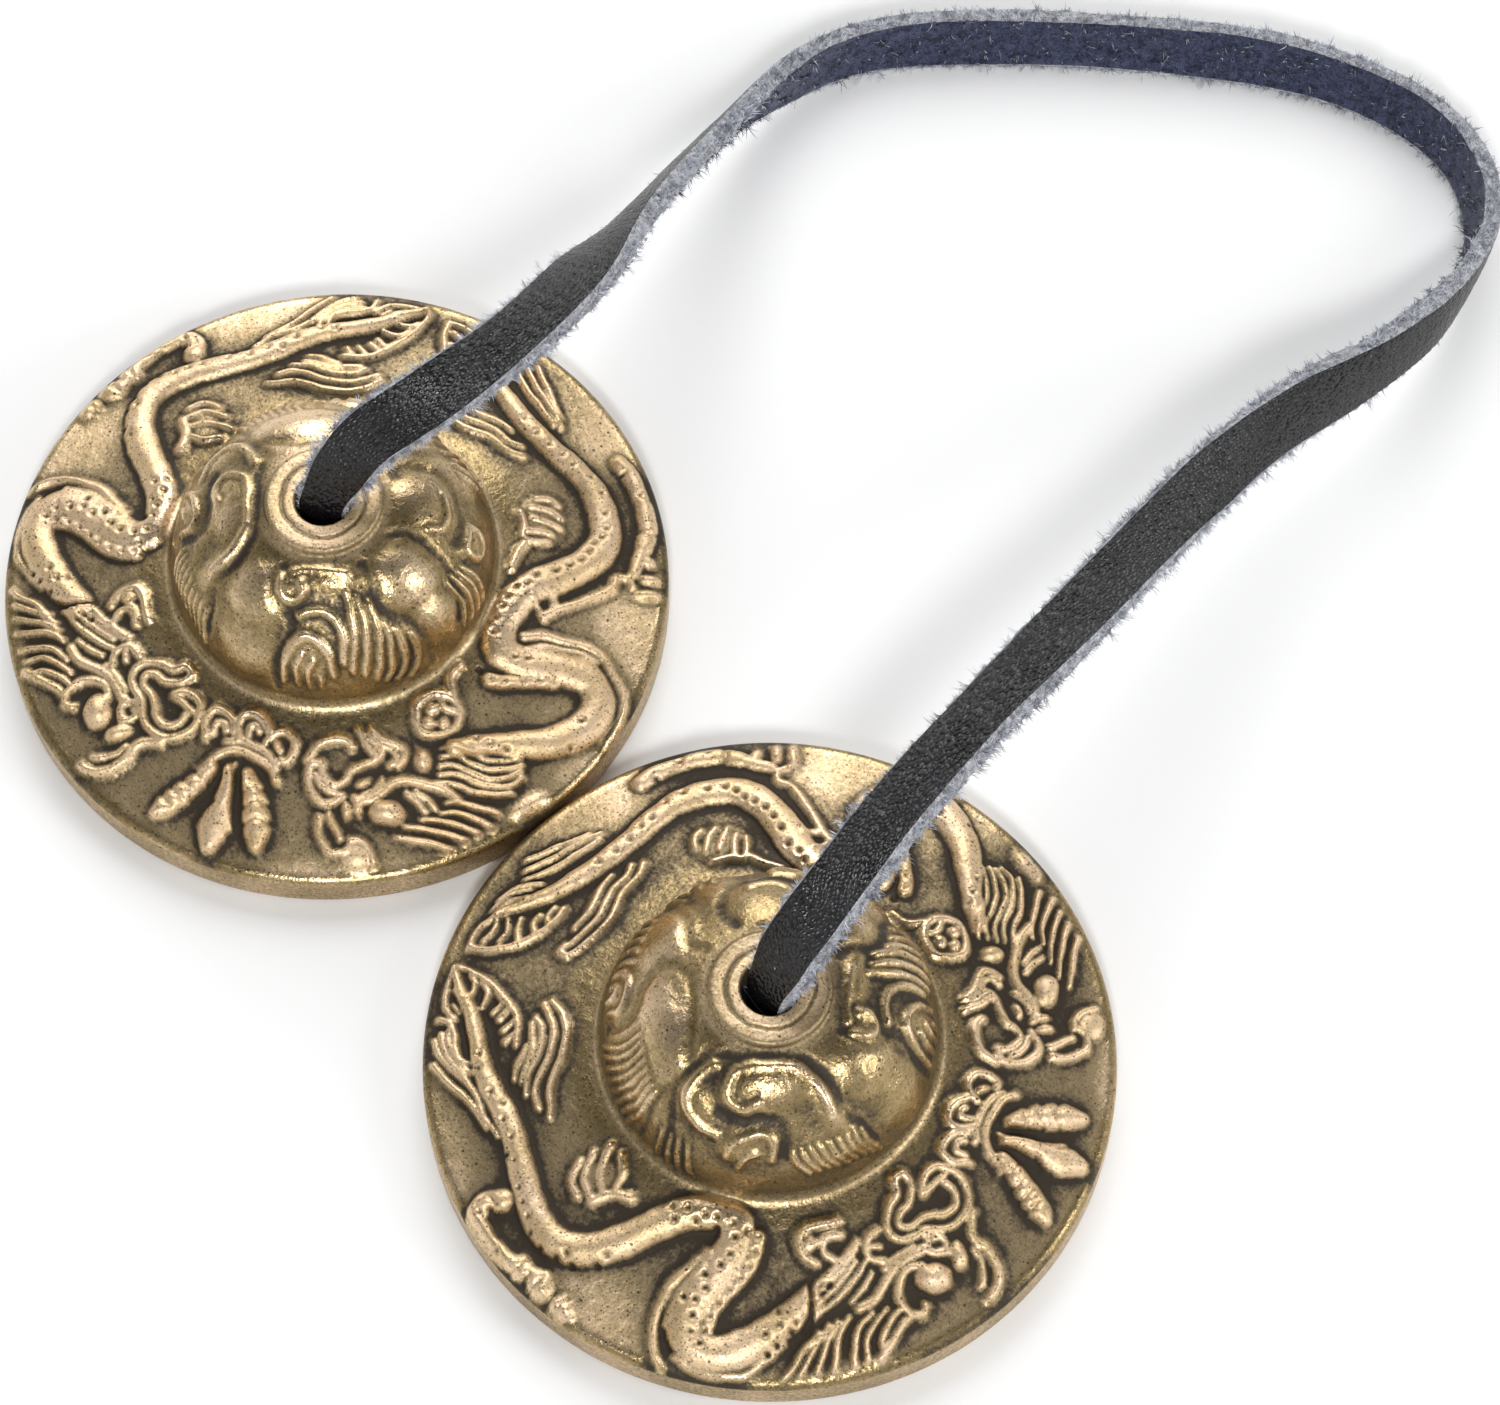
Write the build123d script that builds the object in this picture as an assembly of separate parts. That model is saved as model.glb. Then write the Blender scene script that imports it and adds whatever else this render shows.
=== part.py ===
from build123d import *
import math
import os

# A pair of small cast-brass hand cymbals joined by one leather strap.
# Both cymbals lie flat, side by side along X, with the strap's loop laid out towards +Y.
# Origin: on the ground plane, midway between the two cymbals. Units are millimetres, +Z is up.

# --- driving dimensions -------------------------------------------------------------------

CYMBAL_RADIUS = 32.5
RIM_GAP = 0.3                # space between the two rims
RIM_HEIGHT = 4.3             # height of the plain outer edge
REST_INNER_RADIUS = 29.8     # inner edge of the flat ring that each cymbal rests on
REST_OUTER_RADIUS = 32.0

FLANGE_TOP_RADIUS = 17.0     # where the sloping flange meets the dome's foot
FLANGE_TOP_HEIGHT = 8.3
DOME_RADIUS = 15.6           # half-axes and centre height of the dome's outer ellipse
DOME_RISE = 12.3
DOME_BASE_HEIGHT = 8.9
DOME_FOOT_HEIGHT = 9.6       # where the foot's fillet reaches the dome

HOLLOW_RADIUS = 12.8         # the same for the hollow under the dome
HOLLOW_RISE = 9.4
HOLLOW_BASE_HEIGHT = 8.0
UNDERSIDE_TOP_RADIUS = 16.8  # where the underside of the flange meets the hollow's lip
UNDERSIDE_TOP_HEIGHT = 4.7

HOLE_RADIUS = 3.4
COLLAR_RADIUS = 6.3          # raised ring round the hole
COLLAR_HEIGHT = 21.0

STRAP_WIDTH = 5.8
STRAP_THICKNESS = 2.0
STRAP_END_TOP = 21.9         # the strap leaves the hole here
SWING_HEIGHT = 24.5          # height of the line about which the strap folds over

KNOT_RADIUS = 5.6
KNOT_HALF_HEIGHT = 4.2
KNOT_CENTRE_HEIGHT = 12.3
KNOT_TOP = 16.0              # flat on which the strap end stands
TAIL_WIDTH = 5.4
TAIL_THICKNESS = 1.9
TAIL_BOTTOM = 2.2

TUBE_RADIUS = 3.0            # plain round stand-in for the strap's loop, as wide as the strap
ARC_SHARE = 0.45             # share of the shorter run that an arc takes at each corner

HALF_SPACING = CYMBAL_RADIUS + RIM_GAP / 2
SIDES = {"left": -HALF_SPACING, "right": HALF_SPACING}

# The strap's loop, from the fold over the left hole to the fold over the right hole.
LOOP = [
    (-HALF_SPACING, 0, SWING_HEIGHT),
    (-32.1, 3.6, 27.8),
    (-30.1, 10.6, 30.5),
    (-30.4, 21, 29.2),
    (-33.5, 32, 25.2),
    (-38.5, 44, 18.6),
    (-44.5, 57, 10.2),
    (-48.5, 70, 4),
    (-46.8, 80.5, 3.1),
    (-38.5, 91.5, 3.0),
    (-27, 103.5, 3.1),
    (-14.5, 114.3, 3.0),
    (-1, 119.2, 3.1),
    (9.4, 116.2, 3.2),
    (15.4, 106.2, 5.2),
    (17.4, 93, 8.8),
    (16.8, 78, 13.4),
    (20, 61.5, 19.4),
    (24.4, 44, 25.2),
    (27.4, 29.5, 29.2),
    (30, 17, 31),
    (32, 8.6, 30.4),
    (32.8, 3.6, 28.2),
    (HALF_SPACING, 0, SWING_HEIGHT),
]


# --- cymbals ------------------------------------------------------------------------------

def ellipse_angle(radius, half_axis):
    """Angle, in degrees, at which an ellipse about the cymbal's axis has this radius."""
    return math.degrees(math.acos(radius / half_axis))


def ellipse_height(radius, half_axis, rise, base_height):
    return base_height + rise * math.sqrt(1 - (radius / half_axis) ** 2)


def bell_profile():
    """Half section of a cymbal, in the XZ plane, from the rest ring to the hole."""
    dome_start = math.degrees(math.asin((DOME_FOOT_HEIGHT - DOME_BASE_HEIGHT) / DOME_RISE))
    dome_foot = (DOME_RADIUS * math.cos(math.radians(dome_start)), DOME_FOOT_HEIGHT)
    dome_top = (
        COLLAR_RADIUS,
        ellipse_height(COLLAR_RADIUS, DOME_RADIUS, DOME_RISE, DOME_BASE_HEIGHT),
    )
    hollow_top = (
        HOLE_RADIUS,
        ellipse_height(HOLE_RADIUS, HOLLOW_RADIUS, HOLLOW_RISE, HOLLOW_BASE_HEIGHT),
    )
    hollow_foot = (HOLLOW_RADIUS, HOLLOW_BASE_HEIGHT)
    underside_top = (UNDERSIDE_TOP_RADIUS, UNDERSIDE_TOP_HEIGHT)
    flange_top = (FLANGE_TOP_RADIUS, FLANGE_TOP_HEIGHT)
    with BuildSketch(Plane.XZ) as profile:
        with BuildLine():
            Line((REST_INNER_RADIUS, 0), (REST_OUTER_RADIUS, 0))
            Line((REST_OUTER_RADIUS, 0), (CYMBAL_RADIUS, 0.7))
            Line((CYMBAL_RADIUS, 0.7), (CYMBAL_RADIUS, RIM_HEIGHT - 0.8))
            Line((CYMBAL_RADIUS, RIM_HEIGHT - 0.8), (CYMBAL_RADIUS - 1.1, RIM_HEIGHT))
            Line((CYMBAL_RADIUS - 1.1, RIM_HEIGHT), flange_top)
            ThreePointArc(flange_top, (16.0, 8.75), dome_foot)
            EllipticalCenterArc(
                (0, DOME_BASE_HEIGHT),
                DOME_RADIUS,
                DOME_RISE,
                start_angle=dome_start,
                arc_size=ellipse_angle(COLLAR_RADIUS, DOME_RADIUS) - dome_start,
            )
            Line(dome_top, (COLLAR_RADIUS - 0.3, COLLAR_HEIGHT))
            Line((COLLAR_RADIUS - 0.3, COLLAR_HEIGHT), (HOLE_RADIUS, COLLAR_HEIGHT))
            Line((HOLE_RADIUS, COLLAR_HEIGHT), hollow_top)
            EllipticalCenterArc(
                (0, HOLLOW_BASE_HEIGHT),
                HOLLOW_RADIUS,
                HOLLOW_RISE,
                start_angle=0,
                arc_size=ellipse_angle(HOLE_RADIUS, HOLLOW_RADIUS),
            )
            ThreePointArc(hollow_foot, (13.9, 5.7), underside_top)
            Line(underside_top, (REST_INNER_RADIUS, 0))
        make_face()
    return profile.sketch


def cymbal(centre_x):
    return Pos(centre_x, 0, 0) * revolve(bell_profile(), axis=Axis.Z)


# --- strap --------------------------------------------------------------------------------

def strap_end(centre_x):
    """The flat strap where it stands in the hole, from the knot to just above the collar."""
    height = STRAP_END_TOP - KNOT_TOP
    return Pos(centre_x, 0, KNOT_TOP + height / 2) * Box(STRAP_WIDTH, STRAP_THICKNESS, height)


def knot(centre_x):
    """The stop knot inside the dome, with the strap's short tail hanging from it."""
    with BuildSketch(Plane.XZ) as half_outline:
        with Locations((0, KNOT_CENTRE_HEIGHT)):
            Ellipse(KNOT_RADIUS, KNOT_HALF_HEIGHT)
        with Locations((KNOT_RADIUS / 2, (KNOT_TOP + TAIL_BOTTOM) / 2)):
            Rectangle(KNOT_RADIUS, KNOT_TOP - TAIL_BOTTOM, mode=Mode.INTERSECT)
    ball = revolve(half_outline.sketch, axis=Axis.Z)
    tail_height = KNOT_CENTRE_HEIGHT - TAIL_BOTTOM
    tail = Pos(0, 0, TAIL_BOTTOM + tail_height / 2) * Box(TAIL_WIDTH, TAIL_THICKNESS, tail_height)
    return Pos(centre_x, 0, 0) * (ball + tail)


def loop_radii():
    """Arc radius at each inner corner of the loop's route."""
    points = [Vector(*point) for point in LOOP]
    radii = []
    for before, corner, after in zip(points, points[1:], points[2:]):
        run_in = corner - before
        run_out = after - corner
        half_turn = math.radians(run_in.get_angle(run_out) / 2)
        radii.append(ARC_SHARE * min(run_in.length, run_out.length) / math.tan(half_turn))
    return radii


def strap_loop():
    """The free loop of strap, as a round tube of straight runs joined by tangent arcs."""
    radii = loop_radii()
    path = FilletPolyline(*LOOP, radius=radii)
    section = Plane(origin=path @ 0, z_dir=path % 0) * Circle(TUBE_RADIUS)
    tube = sweep(section, path=path)
    expected = math.pi * TUBE_RADIUS**2 * path.length
    print("strap loop: arc radii", [round(radius, 1) for radius in radii])
    print("strap loop: length", round(path.length, 1))
    print("strap loop: volume over section times length", round(tube.volume / expected, 4))
    return tube


# --- output -------------------------------------------------------------------------------

def main():
    nodes = {"leather_strap": strap_loop()}
    for side, centre_x in SIDES.items():
        nodes[f"{side}_cymbal"] = cymbal(centre_x)
        nodes[f"{side}_strap_end"] = strap_end(centre_x)
        nodes[f"{side}_knot"] = knot(centre_x)
    os.makedirs("parts", exist_ok=True)
    for name, shape in nodes.items():
        export_step(shape, f"parts/{name}.step")


main()
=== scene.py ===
import math
import bpy
import numpy as np
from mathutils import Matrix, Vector


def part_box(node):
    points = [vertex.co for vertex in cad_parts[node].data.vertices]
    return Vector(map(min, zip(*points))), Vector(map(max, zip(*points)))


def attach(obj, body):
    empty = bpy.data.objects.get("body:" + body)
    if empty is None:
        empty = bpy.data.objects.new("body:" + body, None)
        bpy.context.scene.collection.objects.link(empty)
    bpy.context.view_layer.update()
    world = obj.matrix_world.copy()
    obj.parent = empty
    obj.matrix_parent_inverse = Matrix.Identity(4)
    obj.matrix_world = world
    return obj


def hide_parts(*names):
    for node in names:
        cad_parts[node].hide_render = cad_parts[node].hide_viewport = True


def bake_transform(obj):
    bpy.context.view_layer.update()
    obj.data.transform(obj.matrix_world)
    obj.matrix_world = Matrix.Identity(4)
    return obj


# Two small cast-brass cymbals with raised dragons, on one leather strap.
# Metres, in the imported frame: Z up, the cymbals side by side along X, the strap's loop towards +Y.

MM = 0.001
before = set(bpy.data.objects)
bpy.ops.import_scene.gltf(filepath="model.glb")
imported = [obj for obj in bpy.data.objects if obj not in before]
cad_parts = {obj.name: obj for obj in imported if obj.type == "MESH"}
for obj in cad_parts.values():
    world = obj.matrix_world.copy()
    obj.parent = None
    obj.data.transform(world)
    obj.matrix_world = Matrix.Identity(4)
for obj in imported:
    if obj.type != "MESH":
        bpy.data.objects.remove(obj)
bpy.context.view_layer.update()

LEFT_LOW, LEFT_HIGH = (np.array(c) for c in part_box("left_cymbal"))
RIGHT_LOW, RIGHT_HIGH = (np.array(c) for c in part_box("right_cymbal"))
LEFT_CENTRE = (LEFT_LOW + LEFT_HIGH) / 2
RIGHT_CENTRE = (RIGHT_LOW + RIGHT_HIGH) / 2


# --- small helpers --------------------------------------------------------------------------

def smoothstep(x, low=0.0, high=1.0):
    t = np.clip((x - low) / (high - low), 0, 1)
    return t * t * (3 - 2 * t)


def unit(v):
    return v / np.linalg.norm(v, axis=-1, keepdims=True)


def wave_noise(x, seed, scale, octaves=3):
    """Smooth one-dimensional noise, about -1 to 1, over positions x; scale is its longest wave."""
    random = np.random.default_rng(seed)
    total = np.zeros_like(x)
    for k in range(octaves):
        for _ in range(3):
            pitch = 2 * math.pi / (scale * 0.55**k * random.uniform(0.7, 1.4))
            total += 0.5**k * np.sin(pitch * x + random.uniform(0, 6.28)) / 3
    return total


def rough(rows, columns, smooth_rows, smooth_columns, seed):
    """A field of soft random bumps, about -1 to 1, that wraps round the columns."""
    field = np.random.default_rng(seed).normal(size=(rows, columns))
    for axis, width in ((0, smooth_rows), (1, smooth_columns)):
        reach = int(3 * width) + 1
        kernel = np.exp(-0.5 * (np.arange(-reach, reach + 1) / width) ** 2)
        field = sum(w * np.roll(field, k - reach, axis) for k, w in enumerate(kernel / kernel.sum()))
    return field / (2.2 * field.std())


def make_object(name, points, faces, materials, shades=None, attributes=None):
    """A smooth mesh object. faces are rows of 3 or 4 indices, or a list of such arrays; shades gives
    each face's material; attributes are named arrays, one number or three for each point."""
    groups = faces if isinstance(faces, list) else [faces]
    mesh = bpy.data.meshes.new(name)
    mesh.vertices.add(len(points))
    mesh.vertices.foreach_set("co", np.asarray(points, np.float32).ravel())
    loops = np.concatenate([g.ravel() for g in groups]).astype(np.int32)
    sizes = np.concatenate([np.full(len(g), g.shape[1]) for g in groups])
    mesh.loops.add(len(loops))
    mesh.loops.foreach_set("vertex_index", loops)
    mesh.polygons.add(len(sizes))
    starts = np.concatenate([[0], np.cumsum(sizes)[:-1]]).astype(np.int32)
    mesh.polygons.foreach_set("loop_start", starts)
    for material in materials:
        mesh.materials.append(material)
    if shades is not None:
        mesh.polygons.foreach_set("material_index", np.asarray(shades, np.int32))
    mesh.polygons.foreach_set("use_smooth", np.ones(len(sizes), bool))
    for key, values in (attributes or {}).items():
        values = np.asarray(values, np.float32)
        kind = "FLOAT" if values.ndim == 1 else "FLOAT_VECTOR"
        layer = mesh.attributes.new(key, kind, "POINT")
        layer.data.foreach_set("value" if kind == "FLOAT" else "vector", values.ravel())
    mesh.update(calc_edges=True)
    mesh.validate()
    obj = bpy.data.objects.new(name, mesh)
    bpy.context.scene.collection.objects.link(obj)
    return obj


def grid_faces(rows, columns, wrap=True):
    """Quads over a grid of points, rows by columns; wrap joins the last column to the first."""
    i = np.arange(rows - 1)[:, None]
    j = np.arange(columns if wrap else columns - 1)[None, :]
    k = (j + 1) % columns
    corners = (i * columns + j, i * columns + k, (i + 1) * columns + k, (i + 1) * columns + j)
    return np.stack(np.broadcast_arrays(*corners), -1).reshape(-1, 4)


# --- camera ---------------------------------------------------------------------------------

CAMERA_PLACE = (0.1593, -0.1098, 0.4319)
CAMERA_TARGET = (0.00213, 0.02347, 0)
LENS, SENSOR_WIDTH = 117.8, 36       # millimetres


def make_camera():
    camera = bpy.data.cameras.new("camera")
    camera.lens = LENS
    camera.sensor_width = SENSOR_WIDTH
    obj = bpy.data.objects.new("camera", camera)
    bpy.context.scene.collection.objects.link(obj)
    obj.location = CAMERA_PLACE
    obj.rotation_euler = (Vector(CAMERA_TARGET) - obj.location).to_track_quat("-Z", "Y").to_euler()
    bpy.context.scene.camera = obj


make_camera()


# --- the strap's route ----------------------------------------------------------------------

ROUTE = [
    (-0.03265, 0, 0.0245), (-0.0321, 0.0036, 0.0278), (-0.0301, 0.0106, 0.0305), (-0.0304, 0.021, 0.0292),
    (-0.0335, 0.032, 0.0252), (-0.0385, 0.044, 0.0186), (-0.0445, 0.057, 0.0102), (-0.0485, 0.07, 0.004),
    (-0.0468, 0.0805, 0.0031), (-0.0385, 0.0915, 0.003), (-0.027, 0.1035, 0.0031), (-0.0145, 0.1143, 0.003),
    (-0.001, 0.1192, 0.0031), (0.0094, 0.1162, 0.0032), (0.0154, 0.1062, 0.0052), (0.0174, 0.093, 0.0088),
    (0.0168, 0.078, 0.0134), (0.02, 0.0615, 0.0194), (0.0244, 0.044, 0.0252), (0.0274, 0.0295, 0.0292),
    (0.03, 0.017, 0.031), (0.032, 0.0086, 0.0304), (0.0328, 0.0036, 0.0282), (0.03265, 0, 0.0245),
]
LEFT_PIVOT = np.array(ROUTE[0])
RIGHT_PIVOT = np.array(ROUTE[-1])

STRAP_WIDTH = 0.0058
STRAP_THICKNESS = 0.0020
RING_STEP = 0.0004       # between the strap's rings
KNOT_STEP = 0.00035      # the same in a knot
FOLD_END = 0.0085        # where the fold over the hole joins the route, along it from each pivot
SEAM = 0.0180            # where the bending ends meet the band, the same way
HOLE_TOP = 0.0202        # the strap stands straight up as far as here
STRAP_FOOT = 0.0155      # and starts here, inside the knot
SQUEEZE = 0.20           # how much narrower the strap is where the hole pinches it
FLOOR_GAP = 0.00003      # nothing of the strap lies lower than this

# How far the strap's grain side has turned from facing up to facing out of the loop, in degrees,
# against the share of the route.
TWIST = [
    (0.0, -32), (0.02, -30), (0.045, -16), (0.07, -2), (0.09, 4), (0.115, 5), (0.135, 18), (0.15, 42),
    (0.17, 54), (0.20, 58), (0.24, 63), (0.27, 80), (0.30, 102), (0.34, 113), (0.40, 116), (0.46, 117),
    (0.52, 115), (0.56, 111), (0.585, 101), (0.60, 94), (0.64, 72), (0.68, 54), (0.72, 33), (0.76, 18),
    (0.80, 6), (0.84, -8), (0.88, -15), (0.92, -15), (0.96, -8), (1.0, 0),
]


def route_line():
    """Points along the route's smooth line, evenly spaced."""
    curve = bpy.data.curves.new("route", "CURVE")
    curve.dimensions = "3D"
    curve.resolution_u = 40
    spline = curve.splines.new("NURBS")
    spline.points.add(len(ROUTE) - 1)
    for point, place in zip(spline.points, ROUTE):
        point.co = (*place, 1)
    spline.order_u = 3
    spline.use_endpoint_u = True
    obj = bpy.data.objects.new("route", curve)
    bpy.context.scene.collection.objects.link(obj)
    mesh = bpy.data.meshes.new_from_object(obj)
    line = np.array([v.co for v in mesh.vertices])
    bpy.data.objects.remove(obj)
    bpy.data.meshes.remove(mesh)
    bpy.data.curves.remove(curve)
    if np.linalg.norm(line[0] - LEFT_PIVOT) > np.linalg.norm(line[-1] - LEFT_PIVOT):
        line = line[::-1]
    return even_points(line, RING_STEP)


def even_points(line, step):
    """The same line with its points evenly spaced, about a step apart."""
    along = np.concatenate([[0], np.cumsum(np.linalg.norm(np.diff(line, axis=0), axis=1))])
    count = int(round(along[-1] / step)) + 1
    places = np.linspace(0, along[-1], count)
    return np.stack([np.interp(places, along, line[:, k]) for k in range(3)], 1)


def fold_line(pivot, joint_point, joint_way):
    """From the knot straight up through the hole, then folding over to meet the band."""
    foot = np.array([pivot[0], pivot[1], STRAP_FOOT])
    top = np.array([pivot[0], pivot[1], HOLE_TOP])
    straight = np.linspace(foot, top, 20)
    reach = np.linalg.norm(joint_point - top)
    t = np.linspace(0, 1, 60)[:, None]
    a, b = top + np.array([0, 0.05, 0.27]) * reach, joint_point - 0.30 * reach * joint_way
    bend = (1 - t)**3 * top + 3 * (1 - t)**2 * t * a + 3 * (1 - t) * t**2 * b + t**3 * joint_point
    return even_points(np.vstack([straight[:-1], bend]), RING_STEP)


def strap_directions(line, twist):
    """For each point of a line: the grain side's normal and the direction across the strap."""
    way = unit(np.gradient(line, axis=0))
    steep = smoothstep(np.abs(way[:, 2]), 0.6, 0.95)[:, None]
    reference = (1 - steep) * np.array([0, 0, 1.0]) + steep * np.array([0, -1.0, 0])
    upward = unit(reference - (reference * way).sum(1, keepdims=True) * way)
    outward = unit(np.cross(upward, way))
    turn = np.radians(twist)[:, None]
    normal = np.cos(turn) * upward + np.sin(turn) * outward
    return normal, np.cross(way, normal), way


# --- relief: drawn in millimetres about the cymbal's axis, as raised strokes, bumps and pits -----

CELL = 0.1               # one cell of the drawing
HALF = 33.0              # from the axis to the drawing's edge
SIZE = int(2 * HALF / CELL) + 1


def smooth_line(points, step=0.12):
    """Points along a Catmull-Rom curve through given points, and each one's share of the way."""
    p = np.array(points, float)
    if len(p) == 2:
        p = np.array([p[0], (p[0] + p[1]) / 2, p[1]])
    padded = np.vstack([2 * p[0] - p[1], p, 2 * p[-1] - p[-2]])
    line, share = [], []
    for i in range(len(p) - 1):
        a, b, c, d = padded[i:i + 4]
        count = max(2, int(np.linalg.norm(c - b) / step))
        t = np.linspace(0, 1, count, endpoint=False)[:, None]
        line.append(0.5 * (2 * b + (c - a) * t + (2 * a - 5 * b + 4 * c - d) * t**2
                           + (3 * b - a - 3 * c + d) * t**3))
        share.append(i + t[:, 0])
    line.append(p[-1:])
    share.append([len(p) - 1])
    return np.vstack(line), np.concatenate(share) / (len(p) - 1)


def window(low, high):
    """The raster's rows and columns that hold a box given in millimetres, and their places."""
    i0, j0 = (max(0, int((v + HALF) / CELL)) for v in low)
    i1, j1 = (min(SIZE, int((v + HALF) / CELL) + 2) for v in high)
    x = np.arange(i0, i1) * CELL - HALF
    y = np.arange(j0, j1) * CELL - HALF
    return slice(i0, i1), slice(j0, j1), x[:, None], y[None, :]


def blank():
    return np.zeros((SIZE, SIZE))


def from_axis():
    """The places of the drawing's rows, and each cell's distance from the axis."""
    x = np.arange(SIZE)[:, None] * CELL - HALF
    return x, np.hypot(x, x.T)


def spread(values, share):
    """One number, or a few evenly spaced ones, read off at shares of the way along a line."""
    values = np.atleast_1d(values)
    return np.interp(share, np.linspace(0, 1, len(values)), values)


def stroke(field, points, width, height, power=0.8):
    """Raises a rounded ridge along a line. width is its half width; both may be lists along it."""
    line, share = smooth_line(points)
    widths, heights = spread(width, share), spread(height, share)
    for k in range(0, len(line), 14):
        part, w, tall = line[k:k + 15], widths[k:k + 15], heights[k:k + 15]
        rows, cols, x, y = window(part.min(0) - w.max(), part.max(0) + w.max())
        q = np.hypot(x[..., None] - part[:, 0], y[..., None] - part[:, 1]) / w
        best = q.argmin(-1)
        near = np.take_along_axis(q, best[..., None], -1)[..., 0]
        value = tall[best] * np.clip(1 - near**2, 0, 1) ** power
        field[rows, cols] = np.maximum(field[rows, cols], value)


def blob(field, x0, y0, radius_x, radius_y, height, turn=0.0, power=0.6):
    """Raises an oval bump."""
    reach = max(radius_x, radius_y)
    rows, cols, x, y = window((x0 - reach, y0 - reach), (x0 + reach, y0 + reach))
    c, s = math.cos(math.radians(turn)), math.sin(math.radians(turn))
    u, v = (x - x0) * c + (y - y0) * s, (y - y0) * c - (x - x0) * s
    q = (u / radius_x) ** 2 + (v / radius_y) ** 2
    field[rows, cols] = np.maximum(field[rows, cols], height * np.clip(1 - q, 0, 1) ** power)


def pit(field, points, radius=0.3, depth=0.3):
    """Sinks a small round pit at each point."""
    for x0, y0 in points:
        rows, cols, x, y = window((x0 - 3 * radius, y0 - 3 * radius), (x0 + 3 * radius, y0 + 3 * radius))
        q = ((x - x0) ** 2 + (y - y0) ** 2) / radius**2
        field[rows, cols] -= depth * np.exp(-q**1.5)


def blur(field, sigma):
    """Gaussian blur; sigma is in millimetres."""
    reach = int(3 * sigma / CELL) + 1
    kernel = np.exp(-0.5 * (np.arange(-reach, reach + 1) * CELL / sigma) ** 2)
    kernel /= kernel.sum()
    for axis in (0, 1):
        total = np.zeros_like(field)
        for k, weight in enumerate(kernel):
            total += weight * np.roll(field, k - reach, axis)
        field = total
    return field


def sample(field, x, y):
    """The field's value at places given in millimetres."""
    u, v = (np.clip((q + HALF) / CELL, 0, SIZE - 1.001) for q in (x, y))
    i, j = u.astype(int), v.astype(int)
    a, b = u - i, v - j
    return ((1 - a) * (1 - b) * field[i, j] + a * (1 - b) * field[i + 1, j]
            + (1 - a) * b * field[i, j + 1] + a * b * field[i + 1, j + 1])


def wander(height):
    """The drawing nudged about a little, as cut by hand."""
    x = np.arange(SIZE)[:, None] * CELL - HALF
    shift_x = 0.13 * rough(SIZE, SIZE, 9, 9, 41) + 0.06 * rough(SIZE, SIZE, 4, 4, 43)
    shift_y = 0.13 * rough(SIZE, SIZE, 9, 9, 42) + 0.06 * rough(SIZE, SIZE, 4, 4, 44)
    return sample(height, x + shift_x, x.T + shift_y)


def make_relief(draw, base_tone, ground_tone, groove_tone, worn):
    """The raised height, and how dark its skin is: 0 on rubbed crests, 1 in the deepest creases."""
    height = blur(wander(draw()), 0.09)
    near, wide = blur(height, 0.32) - height, blur(height, 1.0) - height
    rubbed = blank()
    for x, y, radius_x, radius_y, turn in worn:
        blob(rubbed, x, y, radius_x, radius_y, 0.85, turn, 0.5)
    rubbed = blur(rubbed, 0.8)
    low = 1 - smoothstep(height, -0.15, 0.62)
    tone = base_tone * (1 - 0.75 * rubbed) + ground_tone * low * (1 - rubbed)
    tone += groove_tone * (3.6 * np.maximum(near, 0) + 0.9 * np.maximum(wide, 0) + 0.25 * wide)
    tone -= 1.6 * np.maximum(-near, 0)
    return {"height": height, "patina": blur(np.clip(tone, 0, 1.15), 0.06)}


# --- the flange's relief: two dragons, with a knot of ribbon and three tassels between their heads ---

LEFT_BODY = [
    (-24.6, -3.9), (-26.4, -1.6), (-28.3, 1.4), (-29.3, 4.4), (-28.5, 7.0), (-26.2, 7.4), (-24, 5.9),
    (-21.6, 4), (-19.2, 2.9), (-17.3, 4.0), (-17.0, 7.2), (-17.9, 10), (-19.2, 13.2), (-19.9, 16.4),
    (-19, 19.3), (-16.6, 21.3), (-13, 22.5), (-9.4, 23.4), (-6, 24.8), (-3, 26.3), (0, 27), (3, 27.6),
    (5.6, 28.8), (8, 29.5),
]
LEFT_WIDTH = [
    1.5, 1.7, 1.8, 1.9, 1.8, 1.8, 1.9, 1.9, 1.9, 1.8, 1.7, 1.7, 1.6, 1.6, 1.6, 1.5, 1.4, 1.3, 1.25, 1.15,
    1.0, 0.85, 0.7, 0.4,
]
RIGHT_BODY = [
    (13.2, 25.6), (14, 23.4), (15, 21), (16.6, 18.4), (18.6, 15.6), (20.8, 13.2), (23.2, 11), (25, 8.6),
    (26, 5.8), (26, 2.8), (24.2, 0.4), (21.6, -1.4), (19, -3), (17.2, -5.2), (16.2, -7.6), (16.6, -9.8),
    (19, -10.7), (22, -10.8), (24.8, -11.6), (25.8, -13.8), (24.6, -16.4), (22, -17.9), (18.8, -18.6),
    (15.4, -18.9), (12, -19.4),
]
RIGHT_WIDTH = [
    0.4, 0.7, 0.9, 1.1, 1.25, 1.35, 1.4, 1.5, 1.6, 1.7, 1.8, 1.9, 1.9, 1.8, 1.8, 1.8, 1.8, 1.8, 1.8, 1.8,
    1.8, 1.7, 1.5, 1.2, 0.9,
]

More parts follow.
